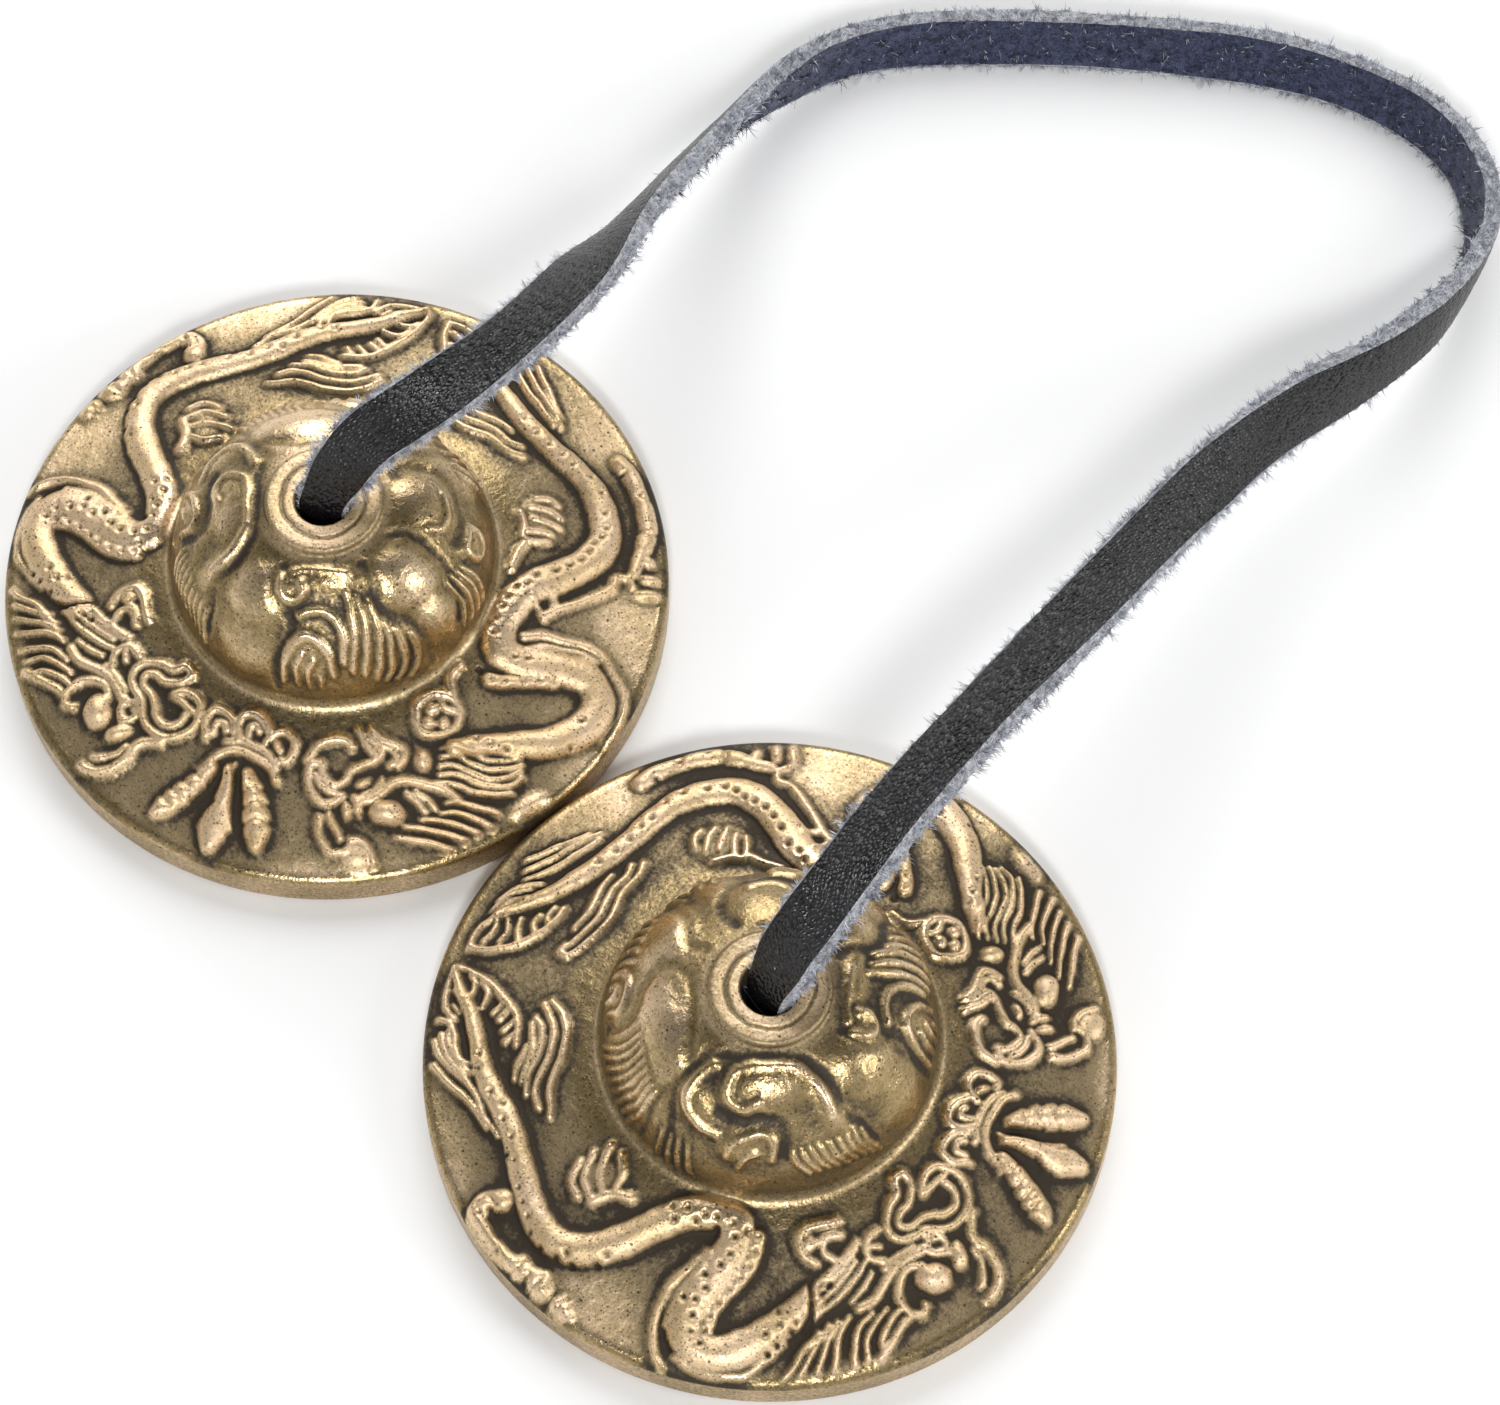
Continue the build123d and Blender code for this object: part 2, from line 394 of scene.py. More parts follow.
# Each ridge: half width, height, points (mm).
HEAD_LEFT = [
    # brow curl and mane root
    (0.42, 0.9, [(-29.6, -10.2), (-28, -11.2), (-26.6, -12.1), (-25.7, -13), (-25.5, -14),
        (-24.7, -14.3)]),
    (0.42, 1.0, [(-25.6, -12.9), (-24.8, -12.2), (-23.6, -11.8), (-22.4, -12.1), (-21.5, -12.9),
        (-21.1, -14)]),
    # forehead and snout
    (0.5, 1.0, [(-25.2, -8.4), (-24.3, -9.7), (-22.9, -10.6), (-21.5, -11.6), (-20.5, -13),
        (-19.8, -14.3)]),
    (0.4, 0.8, [(-21.6, -10.6), (-20.6, -11.8), (-19.6, -13.2)]),
    (0.45, 1.0, [(-19.6, -14), (-20, -15), (-19.8, -16.2)]),
    (0.35, 0.8, [(-19.5, -16.2), (-18.8, -16), (-18.1, -15.2), (-18.6, -14.4), (-19.3, -14.6)]),
    # curled trunk: outer band, inner band
    (0.42, 1.1, [(-13.1, -12.1), (-13.8, -11.5), (-15, -11.6), (-16.2, -11), (-17.5, -10.7),
        (-18.6, -11.2), (-19, -12.2), (-18.6, -13.3), (-17.9, -14.4), (-17.8, -15.8), (-17.3, -17),
        (-16.2, -17.9), (-14.8, -18.2), (-13.4, -17.8), (-12.5, -16.8), (-12.2, -15.5), (-12.8, -14.4),
        (-13.8, -13.9), (-14.8, -14)]),
    (0.38, 1.0, [(-13.1, -12.3), (-14.2, -12.9), (-15.6, -12.7), (-16.6, -12), (-17.7, -11.9),
        (-17.8, -12.9), (-17, -13.9), (-16.6, -15), (-16.5, -15.9), (-15.9, -16.8), (-15, -17),
        (-14.2, -16.8), (-13.7, -16.2)]),
    (0.36, 1.0, [(-14.8, -14.1), (-14.1, -14.7), (-13.5, -15.4), (-12.9, -16.1)]),
    # lower jaw
    (0.36, 0.7, [(-22.6, -19.5), (-21.2, -19.6), (-20, -19.4), (-19.3, -18.8)]),
    (0.55, 1.0, [(-23.6, -20.4), (-22.2, -21), (-20.6, -20.9), (-19.3, -20.1), (-18.5, -19),
        (-17.6, -18.5), (-16, -18.5)]),
    # ear knot
    (0.38, 0.9, [(-21, -10.6), (-20.8, -9.5), (-19.9, -8.9), (-19, -9), (-18.2, -9.9)]),
    (0.3, 0.8, [(-19.6, -9), (-19.6, -10.1)]),
]
HEAD_RIGHT = [
    (0.4, 0.9, [(-1.8, -20.9), (-1, -19.7), (0.4, -19), (1.8, -18.9), (2.4, -19.5)]),
    (0.4, 1.0, [(-0.4, -21.2), (-1.3, -21.3), (-1.6, -22.4), (-1.3, -23.8), (-0.5, -24.8), (0.6, -24.9),
        (1.6, -24.4)]),
    (0.36, 0.9, [(-0.4, -21.2), (-0.3, -22), (0.2, -22.8), (1, -23.2), (1.8, -22.6), (2.3, -21.8),
        (3.4, -21.2), (4.6, -20.9), (5.2, -20.2), (4.7, -19.4), (4, -18.6)]),
    (0.3, 0.8, [(-0.9, -22.2), (-0.5, -23.1), (0.2, -23.8), (0.9, -24)]),
    (0.36, 1.0, [(3.1, -18.2), (3.6, -19.2), (4.3, -20), (4.6, -20.5)]),
    (0.4, 1.0, [(4.3, -18.2), (5.2, -18.9), (6.4, -19.4), (7.3, -19.9), (7.3, -20.6), (6.7, -21.4)]),
    (0.32, 0.9, [(4.6, -18.9), (5.6, -19.7), (6.4, -20.1), (6.5, -20.8), (6, -21.4)]),
    (0.5, 1.2, [(2.8, -24.5), (4.2, -24.6), (5.3, -24), (6.2, -23.1), (7.6, -22.7), (9.4, -22.9),
        (11, -23.4), (12.6, -24.3)]),
    (0.32, 0.9, [(5.2, -22.9), (4.6, -23.7), (3.6, -24.1)]),
    (0.28, 0.8, [(7.6, -23.9), (8.7, -24.6), (9.4, -25.6)]),
    (0.28, 0.8, [(8.5, -23.7), (9.7, -24.4), (10.3, -25.2)]),
    (0.34, 0.9, [(-0.6, -26.2), (-0.7, -27.4), (-0.2, -28.5)]),
    (0.34, 0.9, [(0.2, -26), (0.8, -27.1), (1.4, -28.2)]),
    (0.36, 0.9, [(0, -28.7), (0.7, -29.5), (1.8, -29.4), (2.4, -28.7)]),
    (0.3, 1.0, [(2.3, -28.3), (3.4, -28.4), (4.3, -29.2), (4.7, -30.4)]),
]
MOTIF = [
    (0.42, 1.0, [(-11.6, -18.2), (-11.7, -16.9), (-10.7, -15.9), (-9.5, -16.2), (-8.9, -17.2),
        (-8.9, -18.2)]),
    (0.34, 0.8, [(-10.9, -18), (-10.6, -17.2), (-9.8, -17.2), (-9.6, -17.9)]),
    (0.42, 1.0, [(-8.3, -18.7), (-8.5, -17.4), (-7.9, -16.4), (-6.8, -16.4), (-5.9, -17.1),
        (-5.4, -18.1)]),
    (0.34, 0.8, [(-7.5, -18.8), (-7.4, -17.8), (-6.8, -17.5), (-6.4, -18)]),
    (0.42, 1.0, [(-5.7, -19.1), (-4.9, -18.4), (-4, -18.2), (-3.2, -18.9), (-3.1, -20), (-3.6, -21),
        (-4.3, -20.9)]),
    (0.4, 0.8, [(-4.7, -19.3), (-4.4, -20)]),
    (0.42, 1.1, [(-12.2, -21.5), (-10.9, -20.5), (-9.4, -19.9), (-7.8, -20), (-6.3, -20.7), (-5.3, -21.7),
        (-4.8, -22.7)]),
    (0.36, 1.0, [(-9.6, -19), (-8, -19.1), (-6.4, -19.6), (-5.3, -20.5), (-4.7, -21.6)]),
    (0.26, 0.8, [(-8.7, -21.2), (-9.1, -22.6), (-9.4, -24.4)]),
    (0.26, 0.8, [(-7.5, -22), (-7.7, -22.9)]),
]
MANE_LEFT = [
    [(-31.6, -1.3), (-30.2, -2.6), (-28.6, -3.6), (-27.4, -4.7)],
    [(-31.2, -2.9), (-29.8, -3.8), (-28.3, -4.5), (-26.8, -5.7)],
    [(-31, -4.5), (-29.5, -5), (-28, -5.5), (-26.5, -6.5)],
    [(-30.8, -6.1), (-29.2, -6.2), (-27.6, -6.5), (-26, -7.5)],
    [(-30.2, -7.9), (-28.5, -7.9), (-26.9, -8.3), (-25.5, -9.5)],
    [(-29.7, -9.1), (-28, -9), (-26.5, -9.7), (-25.2, -10.9)],
    [(-29.2, -10.5), (-27.8, -10.4), (-26.4, -11.1), (-25.4, -11.9)],
    [(-26.2, -4.4), (-25, -5.7), (-23.5, -7.1), (-22, -8.2), (-20.9, -8.9)],
    [(-25.4, -4.3), (-24, -5.5), (-22.5, -6.8), (-21, -7.9)],
    [(-24.4, -4.3), (-23, -5.5), (-21.5, -6.8), (-19.9, -8)],
    [(-23.5, -4.2), (-22.2, -5.5), (-20.8, -6.8), (-19.2, -8.2)],
    [(-24.6, -7.6), (-23.3, -8.6), (-22, -9.4)],
]
MANE_RIGHT = [
    [(10.9, -19.6), (12.4, -19.3), (13.8, -19.9), (15.2, -20.4), (16.8, -20.4), (18.4, -20)],
    [(10.9, -20.4), (12.5, -20.2), (14, -20.9), (15.5, -21.3), (17.2, -21.1), (18.6, -20.6)],
    [(10.7, -21.2), (12.3, -21), (13.8, -21.7), (15.4, -22.2), (17, -22), (18.5, -21.2)],
    [(10.7, -22), (12.4, -21.9), (14, -22.5), (15.7, -22.9), (17.4, -22.7), (18.6, -21.8)],
    [(10.3, -22.7), (12.4, -22.9), (14.4, -23.5), (16.2, -23.7), (17.6, -23.4)],
    [(11.4, -24.6), (13, -24.5), (14.8, -25), (16.4, -25.4)],
    [(10.8, -25.6), (12.6, -25.5), (14.4, -26.1), (15.8, -26.6)],
    [(9, -26.4), (10.8, -26.4), (12.6, -26.8), (14.4, -27.3)],
    [(7.4, -27), (9.4, -27.3), (11.4, -27.6), (13.2, -28.1)],
    [(6.6, -28), (8.6, -28.3), (10.6, -28.6), (12, -29)],
]
FINS = [
    # left dragon, outer fin
    [(-9, 25), (-7, 26.1), (-5, 26.9), (-3.3, 28.2), (-2.2, 29.6), (-0.8, 30.7), (1, 31.2)],
    [(-4.2, 27.4), (-2.8, 28.2), (-1.7, 29.4), (-0.3, 30.2), (1.6, 30.6)],
    [(-2.9, 27.4), (-2, 28.4), (-0.8, 29.3), (0.6, 29.8), (1.9, 29.9)],
    [(-1.9, 27.7), (-1.2, 28.6), (0, 29.1), (1.4, 29.2), (2.6, 29.8), (3.1, 30.9)],
    [(-8, 26.1), (-6.2, 27), (-4.5, 28.4), (-3.1, 30), (-1.5, 31.3)],
    # left dragon, inner fin
    [(-7.4, 20.3), (-5.4, 20.2), (-3.4, 19.8), (-1.4, 19.1), (0.6, 18.9), (2.5, 19.3), (3.9, 20.2)],
    [(-6.4, 21.4), (-4.6, 21.5), (-2.8, 20.9), (-1, 20.2), (0.8, 20), (2.4, 20.4), (3.6, 20.9)],
    [(-5, 22.4), (-3.2, 22.2), (-1.6, 21.5), (0, 21), (1.4, 21.1), (2.3, 21.6)],
    [(-3.8, 22.9), (-2.4, 22.5), (-0.8, 21.9), (0.8, 21.9), (1.8, 22)],
    [(-3.4, 23.6), (-2.4, 23.4), (-1.3, 22.8), (-0.5, 22.4)],
    # right dragon, inner fin
    [(8.4, 19), (9.5, 17.4), (11, 15.8), (12.8, 14.6), (14.8, 13.8), (16.4, 12.6), (18, 12)],
    [(9.2, 19.3), (10.6, 17.8), (12.2, 16.3), (13.8, 15.5), (15.3, 14.7), (16.6, 13.6), (17.8, 13.1)],
    [(11.4, 18.4), (12.8, 17.2), (14.2, 16.5), (15.6, 15.9), (16.8, 15)],
    [(8.4, 19), (9, 19.6), (9.6, 19.2)],
    # right dragon, outer fin
    [(16.9, 23.4), (17.6, 21.4), (18.6, 19.4), (19.8, 17.6), (20.8, 16.2)],
    [(18, 23.4), (18.7, 21.4), (19.7, 19.4), (20.8, 17.6), (21.6, 16)],
    [(19.1, 23.2), (19.8, 21.2), (20.8, 19), (21.6, 17.2)],
    [(13.1, 26.3), (14.5, 24.5), (14.9, 22.8)],
    [(13.9, 26.3), (15.4, 24.5), (15.8, 22.4)],
    [(14.9, 25.8), (16, 23.8), (16.3, 21.4)],
]
TAILS = [
    # left tail leaf: edge, then barbs
    (0.34, 0.9, [(0, 23.4), (1.6, 23.3), (3.3, 23.8), (5, 25), (6.6, 26.4), (7.6, 27.9), (8.3, 29.4)]),
    (0.34, 0.9, [(2.9, 29.2), (4, 30.3), (5.6, 30.3), (7, 30), (8.3, 29.5)]),
    (0.3, 0.8, [(0.3, 24.5), (0.8, 23.7)]), (0.3, 0.8, [(1.4, 24.7), (2.2, 23.8)]),
    (0.32, 0.8, [(2.6, 25.1), (3.5, 24.3)]), (0.34, 0.8, [(3.3, 25.7), (4.2, 24.9), (5.4, 25.6)]),
    (0.36, 0.8, [(4, 26.8), (5.4, 26.4), (6.4, 26.9)]), (0.36, 0.8, [(5, 27.9), (6.4, 27.6), (7.2, 28)]),
    (0.3, 0.8, [(3.6, 28.9), (4.4, 29.6)]), (0.3, 0.8, [(4.8, 28.9), (5.8, 29.6)]),
    # right tail leaf
    (0.34, 0.9, [(10.2, 28.2), (9.9, 26.4), (10.1, 24), (11.2, 21.6), (12.6, 19.9), (13.6, 19.4)]),
    (0.34, 0.9, [(10.2, 28.2), (11.8, 27.6), (13, 26.2), (13.5, 24.8)]),
    (0.34, 0.8, [(10.7, 27), (11.8, 26), (13, 25.6)]), (0.34, 0.8, [(10.5, 25.5), (11.5, 24.7),
        (12.8, 24.6)]),
    (0.34, 0.8, [(10.6, 23.7), (11.6, 23.7), (12.8, 23.4)]), (0.34, 0.8, [(11.2, 22.2), (12.2, 22.3),
        (13, 21.7)]),
    (0.3, 0.8, [(11.9, 20.9), (12.8, 20.9), (13.8, 20.2)]),
]
LEGS = [
    # ribbon over the left neck
    (0.5, 1.0, [(-30.6, 9.7), (-28.4, 10.4), (-25.6, 10), (-23.4, 8.8), (-21.8, 7), (-20.6, 5.4)]),
    (0.4, 0.8, [(-26.8, 9.2), (-24.8, 8.7), (-23, 7.4), (-21.6, 5.8)]),
    # outer edge of the left neck, and of its shoulder
    (0.3, 0.6, [(-29.6, 8.6), (-30.9, 6.6), (-31.4, 4.2), (-31, 2), (-29.8, 0.2), (-28.4, -1.6)]),
    # upper left leg
    (1.2, 1.0, [(-14.9, 24.4), (-15.2, 26), (-16.6, 26.9), (-18.4, 26)]),
    (1.0, 0.9, [(-18.4, 26), (-20, 24.4), (-21.2, 22.6), (-22.4, 20.6)]),
    # ribbon of the right flank
    (0.45, 0.8, [(18.6, -8), (20.6, -7.8), (23, -7.9), (25.4, -8.7), (27, -10.4), (28.1, -12.8),
        (28, -15.2), (26.8, -17.8)]),
    (0.36, 0.7, [(19, -9.1), (21, -8.8), (23.6, -9), (25.6, -9.9)]),
    # right leg
    (1.0, 0.9, [(27.4, 12.6), (28.8, 10.6), (29.8, 8), (30.3, 5.2), (30, 3)]),
    (0.7, 0.8, [(30, 3), (29.3, 1.4), (28.9, 0)]),
    (0.36, 0.8, [(27, -1.7), (27.4, -0.6), (28.4, -0.6), (29, -1.4)]),
    (0.4, 0.8, [(26.6, -2.1), (25, -3.1), (23.4, -4), (21.8, -4.7), (20.4, -5.7)]),
    (0.34, 0.8, [(20.4, -6), (19.8, -4.9), (19.2, -4)]),
    (0.5, 0.6, [(21.4, -4.4), (21.3, -3.2)]),
]
CLAWS = [
    # beside the left neck
    (0.42, 0.9, [(-21.3, -4.4), (-20.6, -3.2), (-19.2, -2.6), (-18.4, -3.4), (-18, -4.8), (-17.7, -6.2)]),
    (0.34, 0.8, [(-20.9, -6), (-20.4, -5.1), (-19.6, -5), (-19, -5.7), (-18.8, -6.7)]),
    (0.3, 0.8, [(-19.8, -4.2), (-19, -4.9), (-18.5, -6)]),
    # beside the dome, upper left
    (0.36, 0.9, [(-14.9, 17.5), (-13.4, 18), (-12, 17.3)]), (0.36, 0.9, [(-15, 16.4), (-13.3, 16.9),
        (-11.4, 16.1)]),
    (0.36, 0.9, [(-14.8, 15.2), (-13.2, 15.4), (-11.6, 15), (-10.7, 14.5)]),
    (0.36, 0.9, [(-14.6, 14), (-13.2, 13.5), (-11.6, 13.6)]), (0.5, 0.8, [(-15.4, 16.2), (-15, 14.4),
        (-15.4, 12.6)]),
    # beside the dome, right
    (0.34, 0.9, [(19.4, 7.1), (20.5, 7.2), (21.4, 6.5)]), (0.36, 0.9, [(18.9, 6.1), (20.4, 5.9),
        (21.7, 5.3)]),
    (0.36, 0.9, [(19.3, 4.8), (20.6, 4.5), (21.7, 4.2)]), (0.34, 0.9, [(18.4, 3.4), (19.6, 3.5),
        (20.9, 3.3)]),
    (0.34, 0.9, [(17.9, 5.4), (18.4, 4), (18.3, 2.6), (19.3, 2.3), (20.6, 2.4)]),
    (0.36, 0.8, [(18.5, 1.9), (17.8, 0.6), (17.2, -0.8)]),
    # beside the dome, lower right
    (0.4, 0.9, [(8.3, -16.6), (8.4, -15.4), (9.4, -14.6), (10.8, -14.2), (12, -14.8), (12.5, -16.2),
        (12, -17.6), (10.6, -18.2), (9, -18), (8.3, -16.8)]),
    (0.3, 0.8, [(10.6, -14.2), (11, -15.4), (12.2, -16)]), (0.34, 0.8, [(12, -14.6), (11.8, -12.8),
        (12.6, -11.4)]),
]
BLOBS = [
    # x, y, radii, height, turn
    (-22.2, -15.1, 1.5, 1.9, 1.7, 8), (-20.1, -17.4, 1.5, 0.9, 1.1, 10), (-18.8, -15.2, 0.5, 0.5, 0.6, 0),
    (5.9, -25.8, 1.8, 1.3, 1.6, -8), (2, -25.6, 0.6, 0.9, 1.0, 0), (3.1, -25.3, 0.6, 0.8, 1.0, 20),
    (3.5, -23, 0.9, 0.5, 0.9, 20),
    (3.1, -29.8, 1.6, 1.5, 0.8, 0), (-4.6, -19.6, 0.5, 0.6, 0.9, 0),
    (9.2, -20.8, 0.9, 1.1, 1.1, 0),
    (-21.2, 22.6, 1.5, 1.3, 1.2, 45), (-23.1, 20.7, 1.5, 1.3, 1.2, 50), (-25.1, 18.7, 1.4, 1.2, 1.1, 40),
    (9.6, -17, 0.8, 0.7, 0.9, 0), (11, -17, 0.7, 0.7, 0.9, 0), (9.9, -15.7, 0.8, 0.6, 0.8, 20),
    (30.2, 1.6, 1.1, 0.7, 0.9, -20), (30.6, -0.4, 1.2, 0.7, 1.0, -5), (30.4, -2.1, 1.5, 0.6, 0.9, 0),
    (-19.6, -3.7, 1.0, 0.8, 0.7, 0), (-13.4, 15.6, 1.9, 2.0, 0.4, 0), (20, 4.8, 2.0, 2.9, 0.35, 0),
    (19.2, -24.4, 2.2, 0.9, 0.7, 30),
]
PITS = [
    (-28.4, 6.2), (-27.3, 7), (-25.9, 6.8), (-24.6, 6.5), (-23.6, 5.6), (-24.4, 7.5), (-22.4, 5.6),
    (-20.7, 3.4), (-19.2, 3), (-18, 3.1), (-18.7, 1.9), (-17.5, 4.6), (-18.6, 4.7), (-17.7, 6.5),
    (-16.6, 7.2), (-17.6, 8.5), (-16.4, 8.6), (-21.6, 4.2), (-17.2, 5.6), (-29.4, 0.1), (-27.6, 0.2),
    (-28.6, -0.9), (-26.7, -1.1), (-25.5, -0.9), (-27.4, -2.3), (-26.6, -2.7), (-24, -4.9), (-23.3, -5.6),
    (-20.4, 14.7), (-21.3, 15.6), (-21.2, 18), (-20, 18.2), (-20.4, 19.3), (-19.5, 20.6), (-18.1, 21.6),
    (-16.5, 21.9), (-15.3, 22.4), (-13.9, 22.7), (-11.4, 23.2), (-10.8, 24), (-9.2, 23.6), (-7.4, 24.4),
    (-5.9, 24.4), (-4.6, 25.6), (-2.4, 26.8), (-1, 26.8), (-15.9, 26.4), (-15.8, 25.4), (-19.6, 24.8),
    (18, 16.2), (19.1, 14.6), (20.4, 13.4), (21.8, 12.4), (22.8, 11.2), (24.6, 10), (25.6, 8.4),
    (26, 6.2), (26.2, 4.5), (25.8, 3.4), (25.2, 2.5), (24.6, 1.5), (23.7, 0.5), (22.6, -0.2),
    (21.4, -0.9), (19.7, -1.5), (18.7, -2.6), (17.6, -3.1), (16.7, -4.3), (16.3, -5.4), (15.7, -6.6),
    (15.4, -8), (17.6, -10.2), (18.8, -10.2), (24, -16), (23.2, -18.7), (14.2, -18.5), (15.4, -18.9),
    (17, -19.3), (29.6, 9), (30.6, 6), (27.8, 11),
]
BEADS = [
    (-27.2, 5.6), (-26, 5.1), (-24.9, 4.3), (-23.8, 3.4), (-22.7, 2.4), (-21.6, 1.6), (-20.4, 1.1),
    (-19.2, 0.9), (15.3, -12.5), (16.6, -12.7), (18.4, -12.5), (20, -12.3), (21.4, -12.3), (14.4, -11.6),
]
TASSELS = [
    ((0.6, 1.1, 1.35, 1.25, 0.7), [(-10.9, -21.3), (-12.4, -22.7), (-14, -23.9), (-15.3, -24.8),
        (-16.3, -25.4)]),
    ((0.6, 0.75, 1.0, 1.7, 1.2), [(-9.3, -21.6), (-9.6, -23.4), (-10, -25), (-10.6, -27),
        (-10.9, -28.4)]),
    ((0.7, 1.1, 1.4, 1.4, 0.8), [(-7.4, -22), (-7, -23.6), (-6.7, -25.6), (-6.5, -27.4), (-6.5, -28.8)]),
]
CARVED = [
    # grooves cut back into the raised forms
    [(-15.9, -23.4), (-14.6, -24.9)], [(-14.9, -22.8), (-13.5, -24.4)], [(-13.8, -22.1), (-12.4, -23.6)],
    [(-12.6, -21.5), (-11.4, -22.8)], [(-8.2, -26.9), (-6.6, -26.3), (-5, -26.9)],
    [(-8, -25.2), (-6.6, -24.7), (-5.4, -25.3)], [(-7.8, -23.7), (-6.8, -23.3), (-5.9, -23.8)],
    [(-11.6, -25.2), (-10.4, -24.4)], [(-9.2, -28.4), (-9.6, -26.4)],
    [(-21.6, 23.6), (-20.6, 21.8)], [(-23.6, 21.9), (-22, 20.2)], [(-25.8, 19.8), (-24.2, 18)],
    [(-22.4, 22.4), (-21.8, 21.6)], [(28.9, 5), (30.2, 4.3), (31.2, 4.6)], [(29, 8.8), (30.4, 8.4)],
    [(-15.4, 24.8), (-14.4, 25.8), (-15.2, 26.8)],
]
WORN_FLANGE = [
    # x, y, radii, turn: ground that hands have kept bright
    (-26.5, 16.5, 7.5, 6, 60), (-9, 30, 9, 3, 10), (26, 16.5, 4.5, 7, 30), (29, -5.5, 4, 7, 0),
    (24, -19, 5.5, 4, -45),
    (0, -31.8, 17, 1.6, 0), (-16, -29, 5, 2.5, -30), (14, -30, 6, 2.5, 25), (12, 31, 5, 2, -20),
    (-31, -6, 1.5, 9, 10),
]
COLLAR = [(-27.3, -3.3), (-26, -3.9), (-24.8, -4), (-23.4, -3.8)]


def cast_skin():
    """The slightly uneven skin of a casting."""
    return (0.030 * rough(SIZE, SIZE, 11, 11, 31) + 0.022 * rough(SIZE, SIZE, 4, 4, 32)
            + 0.014 * rough(SIZE, SIZE, 1.6, 1.6, 33))


def draw_flange():
    """The height of the flange's relief: bodies, soft skirts round them, fine lines, and cut grooves."""
    body, skirt, line, carved = blank(), blank(), blank(), blank()

    def ridge(points, width, tall, foot=0.30):
        width = np.atleast_1d(width)
        stroke(line, points, width * 1.05, tall * 0.6, 0.75)
        stroke(skirt, points, width * 1.45 + 0.25, foot, 0.9)

    for widths, points in TASSELS:
        stroke(body, points, widths, 1.15, 0.6)
        stroke(skirt, points, np.array(widths) + 0.4, 0.25, 0.9)
    stroke(body, LEFT_BODY, LEFT_WIDTH, 1.12, 0.62)
    stroke(body, RIGHT_BODY, RIGHT_WIDTH, 1.12, 0.62)
    for width, tall, points in LEGS:
        if width < 0.6:
            ridge(points, width, tall)
        else:
            stroke(body, points, width, tall, 0.6)
    for x, y, rx, ry, tall, turn in BLOBS:
        blob(body, x, y, rx, ry, tall * 0.85, turn)
        blob(skirt, x, y, rx + 0.4, ry + 0.4, 0.25, turn)
    for group in (HEAD_LEFT, HEAD_RIGHT, MOTIF, TAILS, CLAWS):
        for width, tall, points in group:
            ridge(points, width, tall)
    for points in MANE_LEFT + MANE_RIGHT:
        ridge(points, (0.2, 0.38, 0.3), 1.0, 0.2)
    for points in FINS:
        ridge(points, (0.24, 0.44, 0.36), 1.05, 0.25)
    for first, last in ((0, 8), (8, 13)):
        stroke(body, BEADS[first:last], 0.75, 0.85, 0.5)
    for points in CARVED:
        stroke(carved, points, (0.18, 0.32, 0.2), 0.32)
    stroke(carved, COLLAR, (0.25, 0.42, 0.25), 0.7)
    x, r = from_axis()
    dish = smoothstep(28.6 - r - 0.06 * x.T * (x.T > 0), 0, 3.2)
    ground = -0.27 * dish
    height = ground + np.maximum(np.maximum(body, skirt) - ground, 0.85 * line) + 0.55 * line - carved
    height = np.maximum(height, ground) + cast_skin()
    pit(height, PITS, 0.30, 0.45)
    pit(height, BEADS, 0.28, 0.4)
    return height


# --- the dome's clouds: drawn on a flat map whose radius is the way along the dome from its ring ----

LOBES = [
    # x, y, radii, height, turn: the smooth swellings between the grooves
    (-6.3, -9.0, 3.7, 3.5, 0.95, 0), (-8.8, -13.8, 3.8, 4.8, 0.6, -30), (-9.0, 0.6, 2.7, 5.0, 0.75, 8),
    (-10.8, -5.7, 3.4, 1.4, 0.65, 35), (-10.6, 7.0, 3.4, 1.9, 0.6, 20), (-3.4, 10.2, 5.4, 2.8, 0.75, 8),
    (-6.6, 15.0, 6.6, 4.6, 0.4, 20), (8.0, -7.2, 3.7, 3.3, 0.95, -15), (12.2, -10.6, 3.6, 3.2, 0.6, -40),
    (10.2, 0.8, 4.0, 3.4, 0.75, 0), (7.2, 10.6, 4.4, 3.8, 0.65, -30), (13.6, 5.8, 4.8, 2.8, 0.55, 20),
    (-2.3, -8.5, 1.2, 1.1, 0.85, 0), (1.6, -7.7, 3.3, 1.2, 0.6, 0), (-1.6, -15.2, 2.8, 3.4, 0.55, 0),
    (5.4, -13.8, 4.6, 4.8, 0.5, 20), (-15.0, -6.0, 2.8, 4.8, 0.45, 35), (-14.6, 2.4, 2.4, 3.4, 0.55, 0),
    (15.6, -1.4, 2.6, 2.6, 0.55, 0), (2.4, 16.4, 3.4, 3.6, 0.45, 0), (16.6, -7.0, 3.0, 3.4, 0.4, 30),
]
WORN_DOME = [(0, 0, 6.5, 6.5, 0), (0, 11, 11, 7, 0)]
